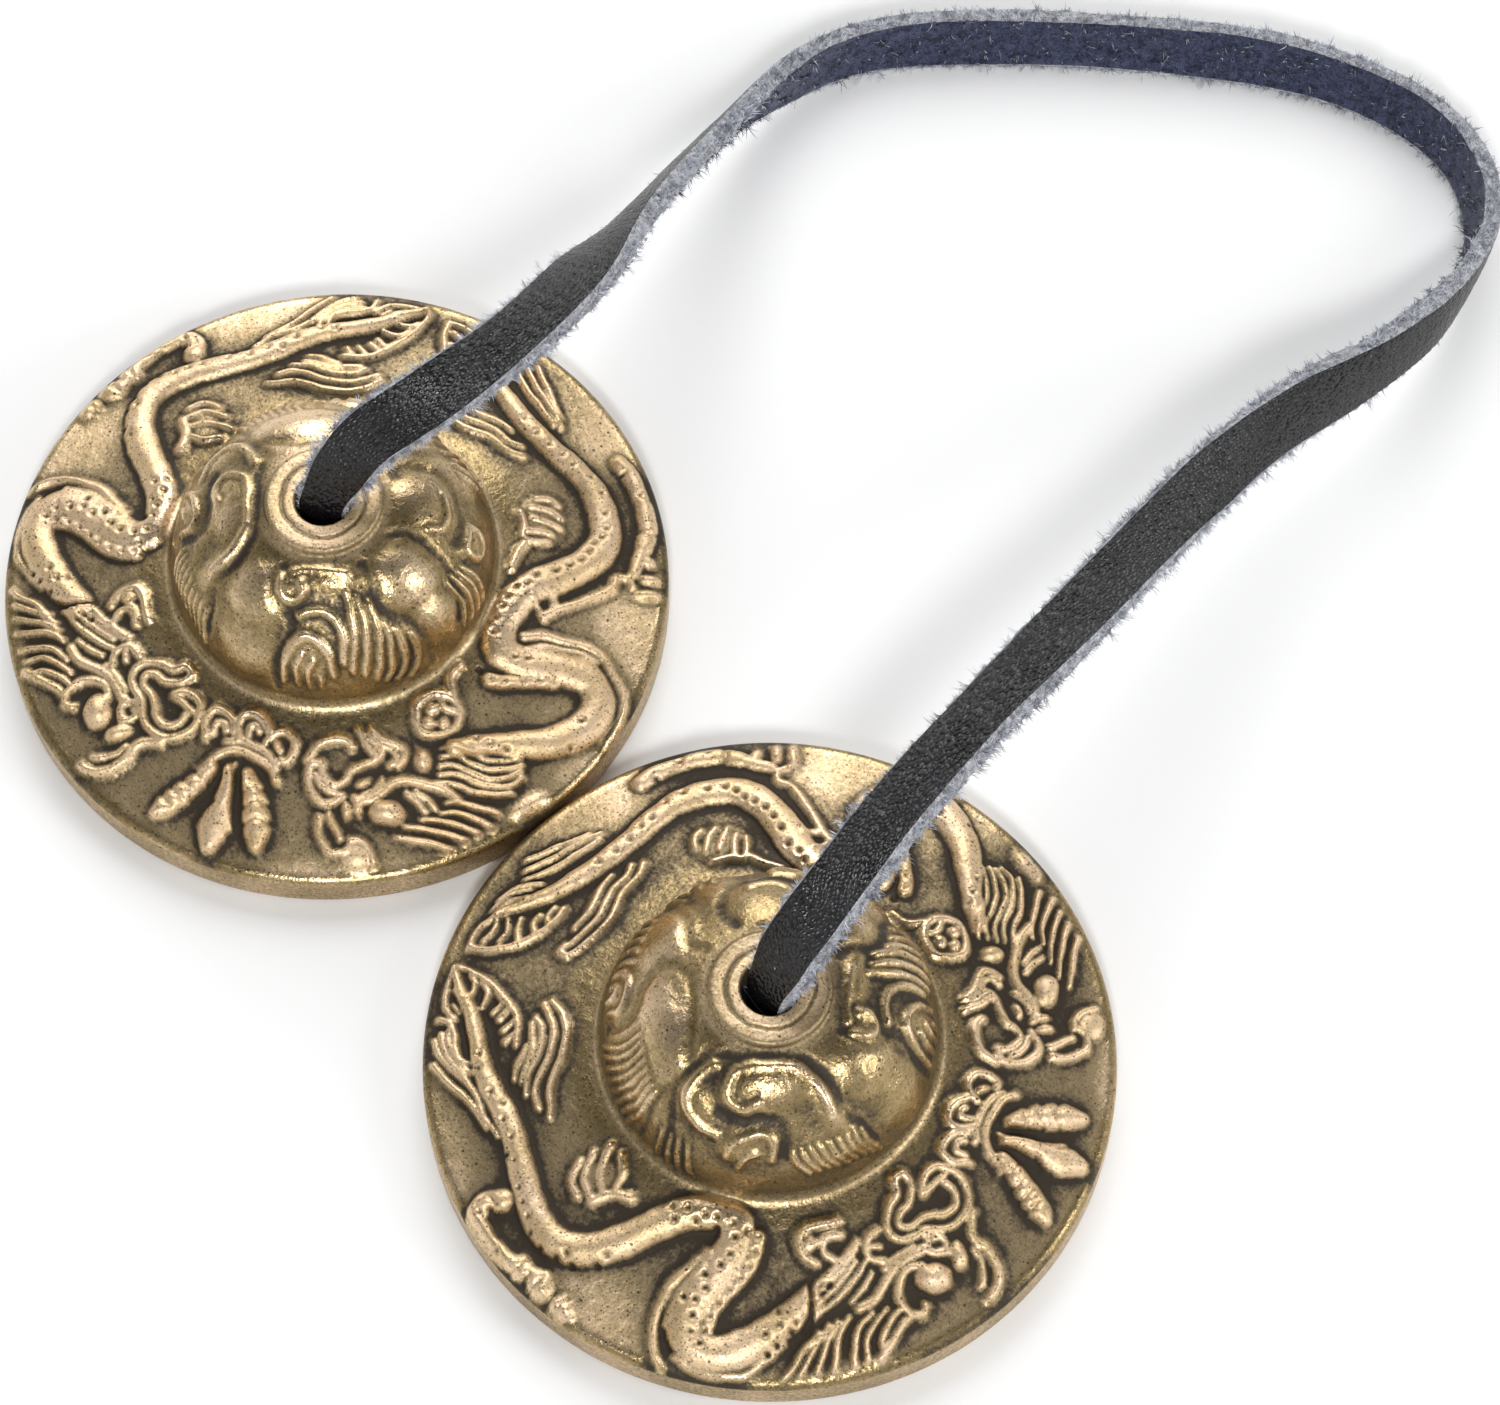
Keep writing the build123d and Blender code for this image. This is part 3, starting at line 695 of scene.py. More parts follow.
DOME_GROOVES = [
    (0.5, 0.5, [(-5.6, 5.4), (-6.8, 7.2), (-9, 9.2), (-12, 10), (-15, 11.4)]),
    (0.45, 0.45, [(-6.2, 4.6), (-5.9, 1), (-6.3, -3), (-8.4, -5.7), (-11.2, -7), (-12, -9),
        (-13.8, -11.6)]),
    (0.5, 0.5, [(-11.4, 4.8), (-11.9, 3), (-11.6, 0.6), (-12.8, -1.4), (-15.6, -1.6)]),
    (0.35, 0.4, [(-9.6, 1.2), (-10.2, 2.4), (-9.4, 3.4), (-7.8, 2.9)]),
    (0.5, 0.45, [(-3.6, -6.4), (-4.4, -8), (-4.2, -10), (-3.0, -11.6), (-3.4, -13.6), (-5.4, -16),
        (-5.8, -19)]),
    (0.5, 0.5, [(3.6, -6), (4.6, -7.8), (5.4, -9.6), (7, -10.9), (9.4, -11.4), (11.6, -13),
        (13.4, -15.6)]),
    (0.45, 0.45, [(5.8, -3.4), (7.8, -3.0), (10.2, -3.6), (12.4, -5), (14.4, -7.6), (15.2, -10)]),
    (0.45, 0.45, [(6.6, 3.2), (8.4, 4.6), (10.8, 4.6), (13, 2.6), (13.6, 0), (13.2, -2.4)]),
    (0.5, 0.5, [(4.2, 6), (5.2, 7.6), (8.4, 8.2), (11, 10), (13.4, 12), (17, 13.8)]),
    (0.5, 0.5, [(-6.2, 7.6), (-3, 6.9), (0.6, 7.1), (3, 8.6), (3.2, 10.6), (1.6, 12.2), (-0.6, 13),
        (-1.6, 15), (-1.2, 18)]),
    (0.4, 0.4, [(-8.4, 8.6), (-9.2, 11), (-12, 13.4), (-13.6, 16)]),
]
DOME_RIDGES = [
    (0.4, 0.45, [(-13.4, 5.2), (-12.6, 6.8), (-10.4, 8), (-8.2, 7), (-7, 5)]),
    (0.4, 0.4, [(-10.4, 0.8), (-11, 2.4), (-9.8, 3.8), (-7.6, 3.2), (-6.9, 0.8), (-7.2, -2.4),
        (-8.8, -4.6), (-11.2, -5.9)]),
    (0.32, 0.4, [(-3.6, -7.2), (-3.7, -8.8), (-2.8, -9.8), (-1.7, -9.2), (-1.8, -8)]),
    (0.36, 0.4, [(-2.6, -6.9), (0, -6.7), (2.4, -7)]),
    (0.36, 0.5, [(-4.8, -18), (-4.3, -15.6), (-3.2, -13.9), (-1.6, -13.2), (-0.2, -13.8), (0.8, -15.4),
        (1.2, -17.4)]),
    (0.36, 0.5, [(-2.2, -11.2), (-0.2, -10.7), (1.4, -11.5), (2.1, -13.4), (2.3, -16)]),
    (0.28, 0.4, [(-3.2, -18.6), (-3, -16.4), (-2.2, -15)]), (0.28, 0.4, [(-1.8, -19), (-1.6, -17),
        (-1, -15.6)]),
    (0.28, 0.4, [(-0.4, -19), (-0.2, -17.6)]),
    (0.3, 0.5, [(2.2, -9), (3, -11.6), (3.3, -14.4), (3.3, -17)]), (0.3, 0.5, [(3.2, -9.4), (4.2, -11.8),
        (4.6, -14.6), (4.7, -17.4)]),
    (0.3, 0.5, [(4.4, -9.8), (5.6, -12.2), (6.1, -15), (6.1, -17.8)]), (0.3, 0.5, [(5.9, -11.2),
        (7.1, -13.4), (7.6, -15.8), (7.4, -18)]),
    (0.3, 0.5, [(7.4, -12), (8.8, -13.8), (9.2, -15.8), (8.8, -17.8)]), (0.3, 0.45, [(9.2, -12.4),
        (10.4, -13.8), (10.9, -15.6), (10.6, -17.4)]),
    (0.32, 0.4, [(11.4, 2.2), (12, 0.2), (11.6, -1.6), (10.2, -2)]),
    (0.34, 0.45, [(14.6, -0.2), (16, 0), (17, -1), (16.8, -2.6), (15.4, -3.1), (14.4, -2.2),
        (14.6, -0.6)]),
    (0.3, 0.4, [(12, 9), (13.6, 10.4), (15, 12)]), (0.3, 0.4, [(13.6, 8.8), (15.2, 10.2), (16.6, 11.8)]),
    (0.3, 0.4, [(15.2, 8.4), (16.8, 9.4), (18.2, 10.6)]), (0.3, 0.4, [(13, 7.2), (16, 7.6), (19, 8.4)]),
    (0.3, 0.4, [(13.6, 5.8), (16.6, 6.2), (19.6, 6.6)]),
    (0.34, 0.45, [(0.2, 17), (0, 15.4), (1.2, 14.2), (3, 14.2), (4.4, 15.4), (4.6, 17)]),
    (0.28, 0.4, [(1.6, 17.6), (1.8, 16.2), (2.8, 15.8), (3.2, 17)]),
    (0.3, 0.45, [(-15.8, 4.6), (-14.2, 3.6), (-13.4, 2), (-13.3, 0.2), (-14.4, -0.6), (-16.2, -0.4)]),
    (0.28, 0.4, [(-17.2, 3.4), (-15.8, 2.4), (-15.2, 1)]),
]
STRAND_FANS = [
    # first strand, last strand, how many: evenly spread between the two
    ([(-3.2, 12.4), (-3.8, 14.6), (-3.4, 17), (-2.4, 19.4)], [(-9, 11.6), (-11, 14), (-11.6, 16.4),
        (-11.8, 18)], 8),
    ([(-12.8, 11.4), (-15, 13), (-16.4, 14.2)], [(-14.6, 8.6), (-17, 9.4), (-19.4, 9.6)], 4),
    ([(-15.4, -2.4), (-16.6, -3.2), (-17.6, -4.6)], [(-12.6, -9.4), (-14, -11), (-15, -13)], 9),
    ([(5, 13.6), (6, 16), (6.2, 18.6)], [(9.4, 11.4), (11.6, 13.4), (13.2, 15.6)], 5),
    ([(12.6, -6.6), (15, -8.4), (16.6, -10.8)], [(14.4, -4.6), (16.8, -5.4), (19, -7)], 4),
]


def between(first, last, count):
    """Strands from the first to the last, evenly changed from one to the other."""
    first, last = np.array(first, float), np.array(last, float)
    return [first + (last - first) * k / (count - 1) for k in range(count)]


def draw_dome():
    """The height of the dome's relief: swellings, the grooves between them, and combed strands."""
    swell, line, groove = blank(), blank(), blank()
    for x, y, rx, ry, tall, turn in LOBES:
        blob(swell, x, y, rx, ry, tall, turn, 0.8)
    swell = blur(swell, 0.55)
    for width, depth, points in DOME_GROOVES:
        stroke(groove, points, width * 1.6, depth * 0.36, 1.2)
    for width, tall, points in DOME_RIDGES:
        stroke(line, points, width * 1.45, tall * 0.8)
    for first, last, count in STRAND_FANS:
        for points in between(first, last, count):
            stroke(line, points, (0.25, 0.45, 0.34), 0.36)
    height = 0.9 * swell - 0.8 * groove + 0.9 * blur(line, 0.12) + cast_skin()
    _, r = from_axis()
    height *= smoothstep(r, 5.9, 7.0) * smoothstep(22.4 - r, 0, 2.0)
    height -= 0.22 * np.exp(-((r - 3.95) / 0.2) ** 2)
    return height


# --- strap pieces ---------------------------------------------------------------------------

EDGE_TUFTS, SUEDE_TUFTS, TUFT_FIBRES = 21000, 5200, 5      # tufts to a metre, fibres to a tuft


def strap_section():
    """The band's section: across and through its thickness, both -1 to 1, and which side it is on."""
    grain = np.linspace(-0.93, 0.93, 17)
    edge = np.linspace(0.72, -0.8, 6)
    suede = np.linspace(0.9, -0.9, 15)
    across = np.concatenate([grain, np.full(6, 1.0), suede, np.full(6, -1.0)])
    through = np.concatenate([1 - 0.05 * grain**2, edge, -1 + 0.08 * suede**2, edge[::-1]])
    side = np.concatenate([np.zeros(17), np.ones(6), np.full(15, 2), np.ones(6)])
    return across, through, side


def pinch(along):
    """The strap's share of its full width: less inside the holes at its two ends."""
    from_hole = np.minimum(along, along[-1] - along)
    return 1 - SQUEEZE * (1 - smoothstep(from_hole, 0.0058, 0.0105))


def strap_rings(normal, across_way, line, along, share):
    """All the rings of the strap from knot to knot, with cut edges that wander and fray."""
    across, through, side = strap_section()
    rows, columns = len(line), len(across)
    half_width = STRAP_WIDTH / 2 * share * (1 + 0.035 * wave_noise(along, 3, 0.03))
    half_thick = STRAP_THICKNESS / 2 * (1 + 0.05 * wave_noise(along, 5, 0.02))
    fine = rough(rows, columns, 0.8, 0.7, 21)
    coarse = rough(rows, columns, 3.5, 2.5, 22)
    a = across * half_width[:, None]
    b = through * half_thick[:, None]
    is_edge, is_suede = (side == 1)[None, :], (side == 2)[None, :]
    a += np.sign(across) * is_edge * (0.00013 * fine + 0.00013 * coarse)
    b -= is_suede * (0.00008 * fine + 0.00006 * coarse)
    creases = 0.00003 * np.sin(along * 5200 + 1.5 * wave_noise(along, 8, 0.004))
    b += (side == 0)[None, :] * (0.000015 * coarse + creases[:, None])
    cup = 0.00022 * (1 - across**2)
    b += cup
    rings = line[:, None] + a[..., None] * across_way[:, None] + b[..., None] * normal[:, None]
    rings[..., 2] = np.maximum(rings[..., 2], FLOOR_GAP)
    return rings, side


def fibres(strap, first, last):
    """Loose fibres standing in tufts out of the cut edges and over the suede: thin closed spikes."""
    line, along, normal, across_way = (strap[key] for key in ("line", "along", "normal", "across"))
    random = np.random.default_rng(1000 + first)
    span = along[last] - along[first]
    edge_tufts, suede_tufts = int(span * EDGE_TUFTS), int(span * SUEDE_TUFTS)
    tufts = edge_tufts + suede_tufts
    count = tufts * TUFT_FIBRES
    tuft = np.repeat(np.arange(tufts), TUFT_FIBRES)
    row = random.uniform(first, last, tufts)[tuft] + random.normal(size=count) * 0.35
    row = np.clip(row, first, last - 0.001)
    on_edge = tuft < edge_tufts
    sign = np.where(random.random(tufts) < 0.5, -1.0, 1.0)[tuft]
    low = row.astype(int)
    part = (row - low)[:, None]
    high = np.minimum(low + 1, len(line) - 1)
    place, across, up = ((1 - part) * q[low] + part * q[high] for q in (line, across_way, normal))
    way = np.cross(up, across)
    half_width, half_thick = STRAP_WIDTH / 2 * strap["share"][low], STRAP_THICKNESS / 2
    a = np.where(on_edge, sign * 0.97, random.uniform(-0.97, 0.97, tufts)[tuft]) * half_width
    up_edge = random.uniform(-1.0, 0.8, tufts)[tuft] + random.normal(size=count) * 0.08
    b = np.where(on_edge, up_edge, -0.93) * half_thick
    root = place + a[:, None] * across + b[:, None] * up
    out = np.where(on_edge[:, None], sign[:, None] * across, -up)
    scatter = random.normal(size=(tufts, 3))[tuft] + 0.5 * random.normal(size=(count, 3))
    sideways = np.where(on_edge[:, None], up, across)
    lean = unit(out + 0.55 * scatter[:, :1] * way + 0.4 * scatter[:, 1:2] * sideways)
    length = random.gamma(2.6, 0.00020, tufts)[tuft] * random.uniform(0.6, 1.3, count)
    length = np.clip(length, 0.00015, 0.0014)
    curl = unit(random.normal(size=(count, 3))) * np.where(on_edge, 0.5, 1.1)[:, None]
    radius = random.uniform(0.000022, 0.00006, count)
    levels = np.array([0, 0.4, 0.75, 1.0])
    width = np.array([1.0, 0.85, 0.55, 0.0])
    side_a = unit(np.cross(lean, np.cross(lean, way + 0.01) + 0.01))
    side_b = np.cross(lean, side_a)
    points, ring_angle = [], np.radians([0, 120, 240])
    for t, w in zip(levels, width):
        centre = root + length[:, None] * (lean * t + curl * t * t * 0.5)
        if w == 0:
            points.append(centre[:, None])
            continue
        for angle in ring_angle:
            offset = math.cos(angle) * side_a + math.sin(angle) * side_b
            points.append((centre + w * radius[:, None] * offset)[:, None])
    points = np.concatenate(points, 1)
    points[..., 2] = np.maximum(points[..., 2], FLOOR_GAP)
    quads = [(r + k, r + (k + 1) % 3, r + 3 + (k + 1) % 3, r + 3 + k) for r in (0, 3) for k in range(3)]
    thirds = [(6 + k, 6 + (k + 1) % 3, 9) for k in range(3)] + [(2, 1, 0)]
    base = np.arange(count)[:, None, None] * 10
    return (points.reshape(-1, 3), (base + np.array(quads)).reshape(-1, 4),
            (base + np.array(thirds)).reshape(-1, 3), np.where(on_edge | (random.random(count) < 0.2), 3, 2))


def strap_piece(name, strap, first, last, materials):
    """The stretch of the strap from ring first to ring last, closed at both ends, with its fibres."""
    rings, side, along = strap["rings"][first:last + 1], strap["side"], strap["along"]
    rows, columns = rings.shape[:2]
    walls = grid_faces(rows, columns)
    wall_shade = np.tile(np.where((side == 1) | (np.roll(side, -1) == 1), 1, side), rows - 1)
    hairs, hair_quads, hair_tips, hair_shade = fibres(strap, first, last)
    body = rings.reshape(-1, 3)
    count = len(body)
    j = np.arange(columns)
    k = (j + 1) % columns
    start_cap = np.stack([np.full(columns, count), count + 2 + k, count + 2 + j], 1)
    end_cap = np.stack([np.full(columns, count + 1), count + 2 + columns + j, count + 2 + columns + k], 1)
    ends = [body[:columns].mean(0)[None], body[-columns:].mean(0)[None], body[:columns], body[-columns:]]
    points = np.vstack([body, *ends, hairs])
    shift = count + 2 + 2 * columns
    faces = [walls, np.vstack([start_cap, end_cap]), hair_quads + shift, hair_tips + shift]
    cap_shade = np.full(2 * columns, 1)
    shades = np.concatenate([wall_shade, cap_shade, np.repeat(hair_shade, 6), np.repeat(hair_shade, 4)])
    across, through, _ = strap_section()
    place = np.zeros((len(points), 3))
    place[:count, 0] = np.repeat(along[first:last + 1], columns)
    place[:count, 1] = np.tile(across * STRAP_WIDTH / 2, rows)
    place[:count, 2] = np.tile(through * STRAP_THICKNESS / 2, rows)
    place[shift:] = hairs
    return make_object(name, points, faces, materials, shades, {"strap_place": place})


def make_strap(materials):
    """The free band and the two bent end pieces, which run from inside the knots up through the holes to meet
    the band.
    """
    route = route_line()
    fold, spare = int(round(FOLD_END / RING_STEP)), int(round((SEAM - FOLD_END) / RING_STEP))
    way = unit(np.gradient(route, axis=0))
    left = fold_line(LEFT_PIVOT, route[fold], way[fold])
    right = fold_line(RIGHT_PIVOT, route[-1 - fold], -way[-1 - fold])[::-1]
    line = np.vstack([left[:-1], route[fold:len(route) - fold], right[1:]])
    along = np.concatenate([[0], np.cumsum(np.linalg.norm(np.diff(line, axis=0), axis=1))])
    fold_share = fold / len(route)
    share = np.interp(np.arange(len(line)), [0, len(left) - 1, len(line) - len(right), len(line) - 1],
                      [0, fold_share, 1 - fold_share, 1])
    twist = np.interp(share, *zip(*TWIST))
    kernel = np.hanning(41)
    twist = np.convolve(np.pad(twist, 20, mode="edge"), kernel / kernel.sum(), "valid")
    normal, across, _ = strap_directions(line, twist)
    width_share = pinch(along)
    rings, side = strap_rings(normal, across, line, along, width_share)
    strap = dict(rings=rings, side=side, along=along, line=line, normal=normal, across=across,
                 share=width_share)

    first, last = len(left) - 1 + spare, len(line) - len(right) - spare
    left_bend = strap_piece("left_strap_bend", strap, 0, first, materials)
    band = strap_piece("leather_strap_band", strap, first, last, materials)
    right_bend = strap_piece("right_strap_bend", strap, last, len(line) - 1, materials)
    left_top, right_top = LEFT_PIVOT * 1.0, RIGHT_PIVOT * 1.0
    left_top[2] = right_top[2] = HOLE_TOP
    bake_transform(left_bend)
    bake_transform(right_bend)
    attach(band, "strap")
    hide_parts("left_strap_end")
    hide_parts("right_strap_end")
    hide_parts("leather_strap")
    return left_bend, band, right_bend, line[first:last + 1]


# --- knots ----------------------------------------------------------------------------------

# The stop knot in the strap, under the crown of the bell: millimetres from the cymbal's axis, with
# Z above the ground.
KNOT = [
    (0, 0, 17.2), (0.1, -0.2, 15.2), (0.6, -1.0, 12.8), (1.4, -2.0, 10.9), (3.1, -1.0, 9.9), (3.3, 1.5, 10.6),
    (1.6, 3.3, 12.0), (-1.0, 3.3, 13.4), (-3.3, 1.6, 14.2), (-3.3, -1.4, 13.9), (-1.4, -3.1, 13.0),
    (1.0, -3.2, 12.0), (2.9, -1.2, 12.6), (2.2, 1.2, 13.0), (0.2, 1.6, 12.0), (-0.4, 0.7, 10.0),
    (-0.3, 0.2, 7.6), (0, 0, 5.2), (0.1, 0, 2.5),
]


def make_knot(name, centre, quarter, materials, body, node):
    """A tied knot with its tail; quarter is how far it is turned about the axis, in radians."""
    x, y, z = np.array(KNOT).T
    c, s = math.cos(quarter), math.sin(quarter)
    turned = np.stack([x * c - y * s, x * s + y * c, z], 1)
    line, _ = smooth_line(turned, 0.3)
    line = even_points(line * MM + np.array([centre[0], centre[1], 0]), KNOT_STEP)
    way = unit(np.gradient(line, axis=0))
    middle = np.array([centre[0], centre[1], 0.0124])
    outward = line - middle
    outward[:, 2] *= 0.4
    ends = smoothstep(np.abs(line[:, 2] - middle[2]), 0.0022, 0.0042)[:, None]
    reference = (1 - ends) * unit(outward + 1e-9) + ends * np.array([0, -1.0, 0])
    kernel = np.hanning(15)[:, None] / np.hanning(15).sum()
    padded = np.pad(reference, [(7, 7), (0, 0)], mode="edge")
    reference = np.stack([np.convolve(padded[:, k], kernel[:, 0], "valid") for k in range(3)], 1)
    normal = unit(reference - (reference * way).sum(1, keepdims=True) * way)
    across = np.cross(way, normal)
    along = np.arange(len(line)) * KNOT_STEP
    share = np.full(len(line), 1 - SQUEEZE)
    rings, side = strap_rings(normal, across, line, along, share)
    strap = dict(rings=rings, side=side, along=along, line=line, normal=normal, across=across, share=share)
    knot = strap_piece(name, strap, 0, len(line) - 1, materials)
    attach(knot, body)
    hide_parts(node)
    return knot


# --- cymbals --------------------------------------------------------------------------------

# Millimetres, as in the drawings.
COLUMNS = 900            # points round the casting
HOLE_RADIUS = 2.7
RING_RADIUS = 6.3        # outer edge of the raised ring round the hole
DOME_HALF_WIDTH, DOME_RISE, DOME_BASE = 15.6, 12.3, 8.9
HOLLOW_HALF_WIDTH, HOLLOW_RISE, HOLLOW_BASE = 12.8, 9.4, 8.0
DOME_FOOT_RADIUS = 15.57
TURNING = 5.6            # the lathe's marks on the underside, in radians a millimetre


def section_line():
    """The cymbal's closed section as points (radius, height), from the hole's top edge outward over the
    dome and flange, under the rim, and back up the bell's hollow and the hole's wall."""
    turn = np.linspace(0, math.pi / 2, 7)
    ring_top = [(HOLE_RADIUS + 0.3 - 0.3 * math.cos(t), 20.7 + 0.3 * math.sin(t)) for t in turn]
    ring_top += [(r, 21.0) for r in np.arange(3.1, 5.15, 0.1)]
    ring_top += [(5.2 + 0.5 * math.sin(t), 20.5 + 0.5 * math.cos(t)) for t in turn]
    dome_start, dome_end = (math.asin(edge / DOME_HALF_WIDTH) for edge in (5.85, DOME_FOOT_RADIUS))
    dome_angle = np.linspace(dome_start, dome_end, 84)
    dome = [(DOME_HALF_WIDTH * math.sin(t), DOME_BASE + DOME_RISE * math.cos(t)) for t in dome_angle]
    foot = [(15.64, 9.32), (15.78, 9.05), (15.98, 8.8), (16.22, 8.6), (16.48, 8.46), (16.75, 8.36)]
    flange_r = np.arange(17.0, 31.35, 0.185)
    flange = [(r, 8.3 - (r - 17.0) * 4.0 / 14.4) for r in flange_r]
    rim = [(31.45 + 1.03 * math.sin(t), 3.3 + 0.98 * math.cos(t)) for t in np.linspace(0.12, math.pi / 2, 9)]
    rim += [(32.5, z) for z in (3.0, 2.6, 2.2, 1.8, 1.4, 1.0)]
    rim += [(32.0 + 0.5 * math.cos(t), 0.55 - 0.55 * math.sin(t)) for t in np.linspace(0.2, math.pi / 2, 6)]
    rest = [(r, 0.0) for r in (31.6, 31.1, 30.6, 30.2)]
    under = [(r, (29.8 - r) * 4.7 / 13.0 + 0.03 * math.sin(TURNING * r))
             for r in np.arange(29.8, 16.9, -0.25)]
    lip = [(16.5, 4.82), (15.9, 5.0), (15.3, 5.2), (14.7, 5.42), (14.2, 5.68), (13.75, 6.05), (13.35, 6.55),
           (13.02, 7.15), (12.84, 7.7)]
    hollow_angle = np.linspace(math.pi / 2 - 0.02, math.asin((HOLE_RADIUS + 0.05) / HOLLOW_HALF_WIDTH), 34)
    hollow = [(HOLLOW_HALF_WIDTH * math.sin(t), HOLLOW_BASE + HOLLOW_RISE * math.cos(t))
              for t in hollow_angle]
    wall = [(HOLE_RADIUS, z) for z in np.arange(17.25, 20.5, 0.4)]
    return np.array(ring_top + dome + foot + flange + rim + rest + under + lip + hollow + wall)


def make_cymbal(name, centre, quarter, seed, tarnish, reliefs, material, body, node):
    """One casting, as a closed mesh. quarter is how far its figures are turned about its axis, in
    radians; tarnish darkens its whole skin."""
    section = section_line()
    ahead, behind = np.roll(section, -1, 0), np.roll(section, 1, 0)
    slope = unit(ahead - behind)
    normal = np.stack([-slope[:, 1], slope[:, 0]], 1)
    gap = np.linalg.norm(section - behind, axis=1)
    r, z = section[:, 0], section[:, 1]
    outer = np.arange(len(section)) < np.argmax(r > 32.45)
    on_dome = outer & (r < 16.2)
    ring_edge = np.argmax(r > RING_RADIUS)
    arc = np.where(r < RING_RADIUS, r, RING_RADIUS + np.cumsum(gap) - np.cumsum(gap)[ring_edge])
    angle = np.arange(COLUMNS) * 2 * math.pi / COLUMNS
    cast = angle - quarter
    result = {}
    for key in ("height", "patina"):
        dome, flange = reliefs["dome"][key], reliefs["flange"][key]
        flat = sample(flange, r[:, None] * np.cos(cast), r[:, None] * np.sin(cast))
        bell = sample(dome, arc[:, None] * np.cos(cast), arc[:, None] * np.sin(cast))
        part = smoothstep(r, 15.7, 17.0)[:, None] * outer[:, None]
        result[key] = outer[:, None] * (flat * part + bell * (1 - part) * on_dome[:, None])
    random = np.random.default_rng(seed)
    swell = 0.05 * np.sin(cast * 3 + random.uniform(0, 6)) + 0.04 * np.sin(cast * 5 + random.uniform(0, 6))
    lift = result["height"] * smoothstep(32.3 - r, 0, 1.2)[:, None]
    lift = lift + swell * smoothstep(r, 30, 32)[:, None] * 0.5
    lift -= 0.03
    radius = r[:, None] + normal[:, :1] * lift
    height = np.maximum(z[:, None] + normal[:, 1:] * lift, 0.02)
    x = centre[0] + radius * np.cos(angle) * MM
    y = centre[1] + radius * np.sin(angle) * MM
    points = np.stack([x, y, height * MM], -1).reshape(-1, 3)
    rows = len(section)
    faces = grid_faces(rows + 1, COLUMNS) % (rows * COLUMNS)
    place = np.stack([(x - centre[0]) * 1000 + 90 * seed, (y - centre[1]) * 1000, height], -1).reshape(-1, 3)
    # The raised ring round the hole is painted lighter: a painted highlight that makes up for the shadow the
    # strap casts over it.
    ring = 1 - smoothstep(r, 4.9, 5.4)
    crease = smoothstep(r, 15.2, 15.6) * (1 - smoothstep(r, 16.5, 17.4))
    shine = smoothstep(r, 6.2, 6.8) * (1 - smoothstep(r, 17.5, 20.5)) * (1 - 0.45 * crease)
    shine = shine + smoothstep(r, 31.0, 31.8)
    gloss = np.where(outer, shine, 0.3)
    gloss = np.broadcast_to(gloss[:, None], x.shape)
    # Besides the tarnish: more patina on the rim's edge and in the dome's crease, and painted light on the
    # ring round the hole against the strap's shadow.
    skin = tarnish + 0.22 * smoothstep(r, 31.6, 32.2) - 0.14 * ring + 0.03 * crease
    patina = np.where(outer[:, None], result["patina"] + skin[:, None], 0.4)
    cymbal = make_object(name, points, faces, [material], None,
                         {"patina": patina.ravel(), "gloss": gloss.ravel(), "place": place})
    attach(cymbal, body)
    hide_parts(node)
    return cymbal


# --- materials ------------------------------------------------------------------------------

class Shader:
    """Short calls that add nodes to a material."""

    def __init__(self, name):
        self.material = bpy.data.materials.new(name)
        self.material.use_nodes = True
        self.nodes, self.links = self.material.node_tree.nodes, self.material.node_tree.links
        self.shader = self.nodes["Principled BSDF"]

    def put(self, socket, value):
        if isinstance(value, bpy.types.NodeSocket):
            self.links.new(value, socket)
        elif value is not None:
            socket.default_value = value

    def attribute(self, name, vector=False):
        node = self.nodes.new("ShaderNodeAttribute")
        node.attribute_name = name
        return node.outputs["Vector" if vector else "Fac"]

    def math(self, kind, a, b=None, clamp=False):
        node = self.nodes.new("ShaderNodeMath")
        node.operation, node.use_clamp = kind, clamp
        self.put(node.inputs[0], a)
        self.put(node.inputs[1], b)
        return node.outputs[0]

    def noise(self, place, scale, detail=3.0, rough=0.55, twist=0.0):
        node = self.nodes.new("ShaderNodeTexNoise")
        self.put(node.inputs["Vector"], place)
        for key, value in (("Scale", scale), ("Detail", detail), ("Roughness", rough), ("Distortion", twist)):
            node.inputs[key].default_value = value
        return node.outputs["Fac"]

    def cells(self, place, scale, feature="F1", jitter=1.0):
        node = self.nodes.new("ShaderNodeTexVoronoi")
        node.feature = feature
        self.put(node.inputs["Vector"], place)
        node.inputs["Scale"].default_value = scale
        node.inputs["Randomness"].default_value = jitter
        return node.outputs["Distance"]

    def stretch(self, place, scale, shift=(0, 0, 0)):
        node = self.nodes.new("ShaderNodeMapping")
        self.put(node.inputs["Vector"], place)
        node.inputs["Scale"].default_value = scale
        node.inputs["Location"].default_value = shift
        return node.outputs[0]

    def remap(self, value, low, high, to_low=0.0, to_high=1.0):
        node = self.nodes.new("ShaderNodeMapRange")
        node.interpolation_type = "SMOOTHSTEP"
        self.put(node.inputs["Value"], value)
        for key, number in (("From Min", low), ("From Max", high), ("To Min", to_low), ("To Max", to_high)):
            node.inputs[key].default_value = number
        return node.outputs[0]

    def mix(self, part, a, b):
        node = self.nodes.new("ShaderNodeMix")
        node.data_type = "RGBA"
        self.put(node.inputs[0], part)
        for socket, colour in ((node.inputs[6], a), (node.inputs[7], b)):
            self.put(socket, (*colour, 1) if isinstance(colour, tuple) else colour)
        return node.outputs[2]

    def bump(self, height, distance, strength=1.0, under=None):
        node = self.nodes.new("ShaderNodeBump")
        node.inputs["Strength"].default_value = strength
        node.inputs["Distance"].default_value = distance
        self.put(node.inputs["Height"], height)
        self.put(node.inputs["Normal"], under)
        return node.outputs[0]

    def set(self, **values):
        for key, value in values.items():
            self.put(self.shader.inputs[key.replace("_", " ")], value)
        return self.material


